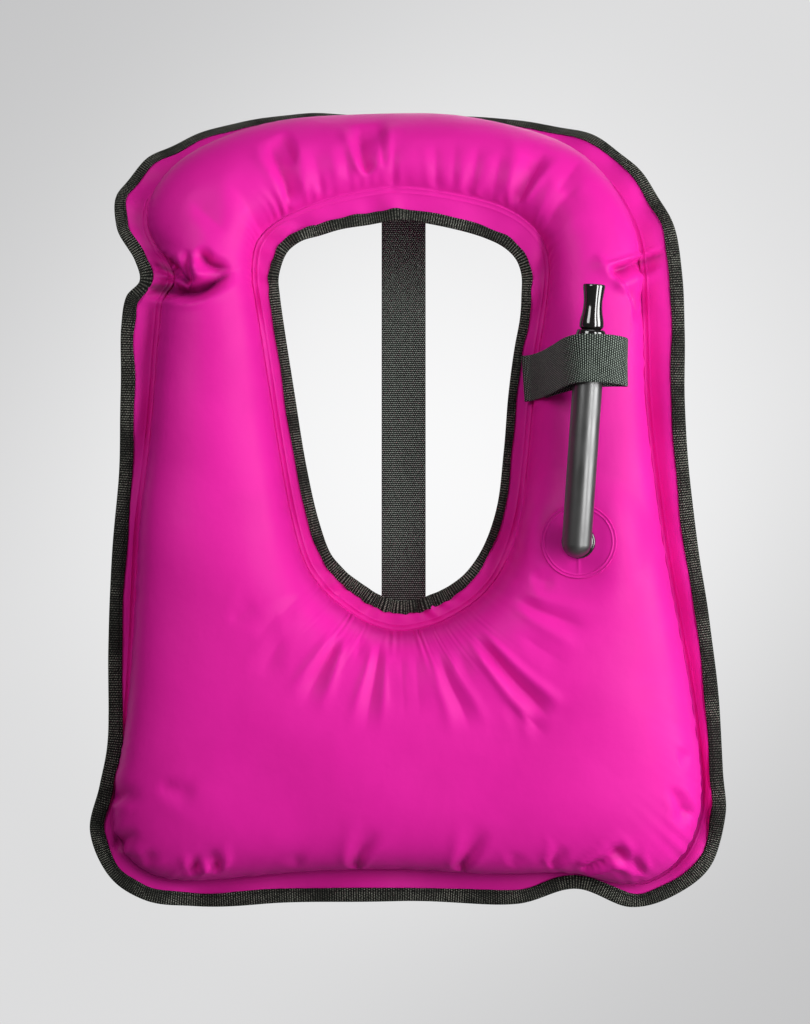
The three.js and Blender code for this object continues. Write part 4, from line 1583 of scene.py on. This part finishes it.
@dataclass(frozen=True)
class HoseFrame:
    """Where the inflator stands: its axis, the way to the panel and its elbow."""

    elbow: tuple = (116.3 * MM, -66.5 * MM, -220.3 * MM)
    tilt: float = math.radians(3.7)
    turn: float = math.radians(9)

    def axes(self) -> tuple[Vector, Vector, Vector]:
        """The sideways, to-panel and hose directions."""
        hose = Vector((math.sin(self.tilt), 0, math.cos(self.tilt)))
        panel = Vector((math.sin(self.turn), math.cos(self.turn), 0))
        panel = (panel - hose * panel.dot(hose)).normalized()
        return panel.cross(hose), panel, hose

    def matrix(self, along_flange: bool = False) -> Matrix:
        """Takes a piece turned about Z to its place, about the hose or about the flange's axis."""
        sideways, panel, hose = self.axes()
        x, y, z = (sideways, -hose, panel) if along_flange else (sideways, panel, hose)
        turned = Matrix((x, y, z)).transposed().to_4x4()
        return Matrix.Translation(Vector(self.elbow)) @ turned


ROUNDING_STEPS = 4


def rounded_profile(corners: Sequence[tuple[float, float]], radius: float) -> np.ndarray:
    """Rounds a closed outline's corners.

    Args:
        corners: The outline, in mm.
        radius: How far back from a corner the rounding starts, where there's room.

    Returns:
        The rounded outline, in mm.
    """
    points = np.array(corners, float)
    out = []
    for k, corner in enumerate(points):
        before, after = points[k - 1], points[(k + 1) % len(points)]
        ends = []
        for other in (before, after):
            way = other - corner
            length = np.linalg.norm(way)
            ends.append(corner + way / length * min(radius, 0.45 * length))
        for t in np.linspace(0, 1, ROUNDING_STEPS + 1):
            out.append((1 - t) ** 2 * ends[0] + 2 * t * (1 - t) * corner + t * t * ends[1])
    return np.array(out)


@dataclass(frozen=True)
class Turned:
    """A piece turned on a lathe: a closed outline of radius and height, in mm."""

    name: str
    outline: tuple[tuple[float, float], ...]
    rounding: float
    along_flange: bool = False
    segments: int = 96

    def mesh(self, frame: HoseFrame) -> bpy.types.Object:
        """Turns the outline and puts it in place.

        Args:
            frame: Where the inflator stands.

        Returns:
            The piece, with its vertices in the row frame.
        """
        profile = rounded_profile(self.outline, self.rounding) * MM
        angle = np.arange(self.segments) / self.segments * 2 * np.pi
        radius, height = profile[:, 0], profile[:, 1]
        points = np.stack(
            [
                np.outer(np.cos(angle), radius),
                np.outer(np.sin(angle), radius),
                np.broadcast_to(height, (self.segments, len(height))),
            ],
            -1,
        )
        obj = grid_mesh(self.name, points, True, True)
        obj.data.transform(frame.matrix(self.along_flange))
        outward_faces(obj)
        return obj


# Outlines of the turned pieces: radius, and height above the elbow or the flange's own, in mm.
TUBE = ((6.6, -0.7), (6.6, 126.0), (10.0, 126.0), (10.0, -0.7))
DOME = (
    *(
        (10.0 * math.cos(math.radians(a)), -10.0 * math.sin(math.radians(a)))
        for a in range(0, 91, 6)
    ),
    (0.01, -9.4), (0.01, -6.6), (6.6, 0.0),
)
LOCK_RING = (
    (8.5, 136.4), (9.6, 136.4), (9.95, 137.2), (9.95, 140.2), (9.7, 141.6), (9.2, 142.7),
    (8.5, 143.2),
)
MOUTHPIECE = (
    (6.3, 134.3), (6.3, 143.5), (7.4, 143.9), (8.1, 145), (8.25, 147), (7.9, 149.5), (7.4, 151.7),
    (6.9, 154), (6.55, 156.3), (6.35, 158.5), (6.3, 160.3), (6.3, 162), (6.5, 164.3), (6.7, 166.5),
    (7.0, 168.6), (7.3, 170.5), (7.5, 172.2), (7.2, 173.2), (6.6, 173.5), (5, 173.5), (4.2, 172.7),
    (4.2, 136.8), (1.9, 136.8), (1.9, 134.3),
)
FLANGE = (
    (3.4, 12.3), (9.4, 12.3), (9.9, 12.9), (10.5, 12.5), (11.2, 12.9), (11.5, 13.7), (11.5, 16.6),
    (5.0, 16.6), (5.0, 27.0), (2.0, 27.0), (2.0, 7.2), (3.3, 7.2),
)
HOSE_NECK = ((3.6, 4.0), (7.3, 4.0), (8.0, 5.0), (8.0, 10.3), (3.6, 10.3))


@dataclass(frozen=True)
class Patch:
    """The round patch under the flange."""

    hole_mm: float = 5.6
    edge_mm: float = 25.5
    extra_radii_mm: tuple = (22.2, 22.6, 23.0, 23.4, 24.6, 25.0)
    segments: int = 144
    thickness: float = 0.35 * MM
    sunk: float = 0.3 * MM
    # Radius and half width of each embossed ring.
    rings: tuple = ((22.8 * MM, 0.5 * MM), (24.9 * MM, 0.6 * MM))
    ring_height: float = 0.45 * MM
    tick_start: float = 12 * MM
    tick_end: float = 22.4 * MM
    tick_width: float = 0.75 * MM


class Inflator:
    """The oral hose, its mouthpiece and the flange on the jacket."""

    patch: Patch = Patch()

    def __init__(self, frame: dict, materials: Materials, front: bpy.types.Object) -> None:
        """Keeps what the pieces are made from.

        Args:
            materials: The finishes.
            front: The front panel, which the patch lies on.
        """
        self.nodes = frame["nodes"]
        self.materials = materials
        self.place = HoseFrame()
        self.front = front

    def build(self) -> None:
        """Makes the inflator's pieces and dresses the ones that stay as they are."""
        parts = (
            Turned("tube", TUBE, 0.5),
            Turned("dome", DOME, 0.05),
            Turned("neck", HOSE_NECK, 0.4, True),
        )
        hose = join_meshes("oral_hose_tube", [part.mesh(self.place) for part in parts])
        self._hand_over(hose, "oral_hose", "inflator_hose", Finish.HOSE_RUBBER)
        for turned, body, node in (
            (Turned("hose_lock_ring", LOCK_RING, 0.5), "locking_ring", "lock_ring"),
            (Turned("mouthpiece_spout", MOUTHPIECE, 1.2), "press_valve", "mouthpiece"),
            (Turned("valve_flange_disc", FLANGE, 0.35, True), "jacket", "valve_flange"),
        ):
            self._hand_over(turned.mesh(self.place), body, node, Finish.GLOSS_BLACK)
        self._hand_over(self._patch(), "jacket", "valve_patch", Finish.COATED_NYLON)
        for node, finish in (
            ("flange_backing", Finish.FLEXIBLE_VINYL),
            ("swivel_seal", Finish.HOSE_RUBBER),
            ("valve_body", Finish.MOULDED_BLACK),
            ("valve_stem", Finish.MOULDED_BLACK),
            ("valve_disc", Finish.HOSE_RUBBER),
            ("valve_o_ring", Finish.HOSE_RUBBER),
            ("valve_spring", Finish.SPRING_STEEL),
        ):
            self.materials.dress(self.nodes[node], finish)

    def _hand_over(self, obj: bpy.types.Object, body: str, node: str, finish: Finish) -> None:
        """Dresses a piece and hands it to the frame."""
        self.materials.dress(obj, finish)
        settle(obj, body, (node,), finish)

    def _patch(self) -> bpy.types.Object:
        """Drapes the round welded patch on the front.

        Returns:
            The patch, with its two embossed rings and its tick.
        """
        seat, size = ValveSeat(), self.patch
        tree = BVHTree.FromObject(self.front, bpy.context.evaluated_depsgraph_get())
        even = np.linspace(size.hole_mm, size.edge_mm, 40)
        radii = np.unique(np.concatenate([even, size.extra_radii_mm])) * MM
        angles = np.arange(size.segments) / size.segments * 2 * np.pi
        (inner_ring, inner_width), (outer_ring, outer_width) = size.rings
        rings = bell(radii - inner_ring, inner_width) + bell(radii - outer_ring, outer_width)
        lift = size.thickness + size.ring_height * rings
        down = np.abs((angles + np.pi / 2 + np.pi) % (2 * np.pi) - np.pi)
        ticked = (radii > size.tick_start) & (radii < size.tick_end)
        tick = bell(down[:, None] * radii[None], size.tick_width) * ticked[None]
        lift = lift[None] + size.thickness * tick
        outer = np.empty((len(angles), len(radii), 3))
        inner = np.empty_like(outer)
        for i, angle in enumerate(angles):
            for j, radius in enumerate(radii):
                x = seat.centre[0] + radius * math.cos(angle)
                z = seat.centre[2] + radius * math.sin(angle)
                hit, normal, _, _ = tree.ray_cast(Vector((x, -0.3, z)), Vector((0, 1, 0)))
                away = -normal if normal.y > 0 else normal
                outer[i, j] = hit + away * lift[i, j]
                inner[i, j] = hit - away * size.sunk
        obj = grid_mesh("valve_patch_disc", np.concatenate([outer, inner[:, ::-1]], 1), True, True)
        outward_faces(obj)
        return obj


# ---- the whole jacket ---------------------------------------------------------------------------


class Jacket:
    """The fabric shell and its bound edges."""

    outer_ruffle: float = 0.25 * MM
    neck_ruffle: float = 0.08 * MM

    def __init__(self, materials: Materials) -> None:
        """Solves the fabric.

        Args:
            materials: The finishes.
        """
        self.materials = materials
        self.shell = FabricShell()

    def build(self) -> bpy.types.Object:
        """Makes the panels and the bindings.

        Returns:
            The front panel.
        """
        front, back = self.shell.build(self.materials)
        for panel, node in ((front, "front_panel"), (back, "back_panel")):
            settle(panel, "jacket", (node,), Finish.COATED_NYLON)
        shell, r = self.shell, self.shell.ribs
        viewer = np.broadcast_to(TO_VIEWER, r.neck.shape)
        outer_edge = r.outer + r.front * shell.outer_sway[:, None]
        neck_edge = r.neck + viewer * shell.neck_sway[:, None]
        outer_tape = Binding(OUTER_TAPE_MM, self.outer_ruffle)
        neck_tape = Binding(NECK_TAPE_MM, self.neck_ruffle)
        for node, binding, edge, inward, normal, seed in (
            ("outer_binding", outer_tape, outer_edge, -r.outward, r.front, 61),
            ("neck_binding", neck_tape, neck_edge, r.upright, viewer, 62),
        ):
            tape = binding.build(f"{node}_tape", r.share, edge, inward, normal, seed)
            self.materials.dress(tape, Finish.WOVEN_TAPE)
            settle(tape, "jacket", (node,), Finish.WOVEN_TAPE)
        return front


# ---- studio -------------------------------------------------------------------------------------


def look_back(obj: bpy.types.Object, target: tuple, away: Vector, distance: float) -> None:
    """Stands a lamp or a camera off from a point and turns it to face it.

    Args:
        obj: The lamp or camera.
        target: The point.
        away: The way from the point to the object, of length one.
        distance: How far off it stands.
    """
    obj.location = Vector(target) + away * distance
    obj.rotation_mode = "QUATERNION"
    obj.rotation_quaternion = (-away).to_track_quat("-Z", "Y")


@dataclass(frozen=True)
class SoftLight:
    """A large soft box that looks at one point."""

    name: str
    azimuth: float
    elevation: float
    width: float
    height: float
    watts: float
    distance: float = 2.0
    target: tuple[float, float, float] = (0.0, 0.0, -0.2)

    def build(self) -> bpy.types.Object:
        """Makes the lamp.

        Returns:
            The lamp, unseen by the camera.
        """
        data = bpy.data.lights.new(self.name, "AREA")
        data.shape = "RECTANGLE"
        data.size, data.size_y = self.width, self.height
        data.energy = self.watts
        obj = linked(self.name, data)
        turn, rise = math.radians(self.azimuth), math.radians(self.elevation)
        level = math.cos(rise)
        away = Vector((math.sin(turn) * level, -math.cos(turn) * level, math.sin(rise)))
        look_back(obj, self.target, away, self.distance)
        obj.visible_camera = False
        return obj


@dataclass(frozen=True)
class Studio:
    """The pale backdrop, the floor, the lamps and the camera."""

    backdrop_distance: float = 3.6
    backdrop_size: float = 9.0
    floor_height: float = -1.6
    camera_distance: float = 1.65
    camera_elevation: float = math.radians(3)
    view_height: float = math.radians(24.5)
    target: tuple[float, float, float] = (0.001, 0.0, -0.203)
    world_colour: tuple[float, float, float, float] = (0.92, 0.93, 0.95, 1)
    world_light: float = 0.05
    world_seen: float = 0.75
    lamps: tuple[SoftLight, ...] = (
        SoftLight("left", -34, 30, 0.8, 1.1, 13.5),
        SoftLight("right_front", 36, 4, 0.45, 1.9, 25.0),
        SoftLight("right_side", 70, 6, 0.9, 1.4, 31.0),
        SoftLight("top", 20, 70, 1.0, 1.0, 3.0),
        SoftLight("behind", 165, 40, 1.2, 1.2, 7.0),
    )

    def build(self) -> None:
        """Makes everything that isn't the jacket."""
        backdrop = self._plane("backdrop", (0, self.backdrop_distance, 0), math.pi / 2)
        floor = self._plane("floor", (0, 0, self.floor_height), 0.0)
        backdrop.data.materials.append(self._paper())
        floor.data.materials.append(self._floor())
        lamps = [lamp.build() for lamp in self.lamps]
        scene = bpy.context.scene
        scene.world = self._world()
        scene.view_settings.view_transform = "Standard"
        scene.view_settings.look = "None"
        self._camera()

    def _world(self) -> bpy.types.World:
        """Makes a pale surround that looks brighter to the camera than it lights the jacket."""
        world = bpy.data.worlds.new("studio")
        world.use_nodes = True
        tree = world.node_tree
        background = tree.nodes["Background"]
        background.inputs["Color"].default_value = self.world_colour
        seen = tree.nodes.new("ShaderNodeLightPath").outputs["Is Camera Ray"]
        strength = tree.nodes.new("ShaderNodeMapRange")
        strength.inputs["To Min"].default_value = self.world_light
        strength.inputs["To Max"].default_value = self.world_seen
        tree.links.new(seen, strength.inputs["Value"])
        tree.links.new(strength.outputs[0], background.inputs["Strength"])
        return world

    def _plane(self, name: str, place: tuple, tilt: float) -> bpy.types.Object:
        """Makes a large square.

        Args:
            name: Its name.
            place: Its middle.
            tilt: Its turn about X.

        Returns:
            The square.
        """
        half = self.backdrop_size / 2
        mesh = bpy.data.meshes.new(name)
        corners = [(-half, -half, 0), (half, -half, 0), (half, half, 0), (-half, half, 0)]
        mesh.from_pydata(corners, [], [(0, 1, 2, 3)])
        obj = linked(name, mesh)
        obj.location = place
        obj.rotation_euler = (tilt, 0, 0)
        return obj

    @staticmethod
    def _paper() -> bpy.types.Material:
        """Pale grey paper that glows with a painted pool of light, brightest low in the middle and
        darker at the top and lower right.
        """
        s = Shader("backdrop_paper", 1.0, 0.0)
        split = s.node("SeparateXYZ", {0: s.place()})
        x, z = split.outputs[0], split.outputs[1]
        dx = s.math("SUBTRACT", x, 0.08)
        dz = s.math("ADD", z, 0.32)
        far = s.math("SQRT", s.math("ADD", s.times(dx, dx), s.times(dz, dz)))
        near = s.band(far, 0.0, 1.25, 1.0, 0.0)
        # Painted light: the glow falls off from a bright pool and darkens toward the lower right.
        colour = s.mix(near, (0.72, 0.72, 0.725, 1), (0.95, 0.95, 0.955, 1))
        slant = s.math("ABSOLUTE", s.math("SUBTRACT", dx, dz))
        colour = s.mix(s.band(slant, 0.5, 2.3, 0.0, 0.62), colour, (0.45, 0.45, 0.455, 1))
        s.put(s.surface.inputs["Emission Color"], colour)
        s.surface.inputs["Emission Strength"].default_value = 1.0
        return s.finish((0, 0, 0, 1))

    @staticmethod
    def _floor() -> bpy.types.Material:
        """Pale grey floor, which looks lit all over to the camera."""
        s = Shader("floor_paint", 0.8, 0.1)
        s.surface.inputs["Emission Color"].default_value = (0.6, 0.6, 0.61, 1)
        s.put(s.surface.inputs["Emission Strength"], s.node("LightPath").outputs["Is Camera Ray"])
        return s.finish((0.22, 0.22, 0.22, 1))

    def _camera(self) -> None:
        """Stands the camera in front of the jacket, a little above its middle."""
        data = bpy.data.cameras.new("camera")
        data.sensor_width = 36.0
        data.lens = 18.0 / math.tan(self.view_height / 2)
        data.clip_start, data.clip_end = 0.05, 50.0
        obj = linked("camera", data)
        back = Vector((0, -math.cos(self.camera_elevation), math.sin(self.camera_elevation)))
        look_back(obj, self.target, back, self.camera_distance)
        bpy.context.scene.camera = obj


def main() -> None:
    """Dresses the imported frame."""
    logging.basicConfig(level=logging.INFO, format="%(name)s: %(message)s")
    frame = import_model()
    materials = Materials()
    front = Jacket(materials).build()
    Inflator(frame, materials, front).build()
    Harness(frame, materials).build()
    Studio().build()


if __name__ == "__main__":
    main()
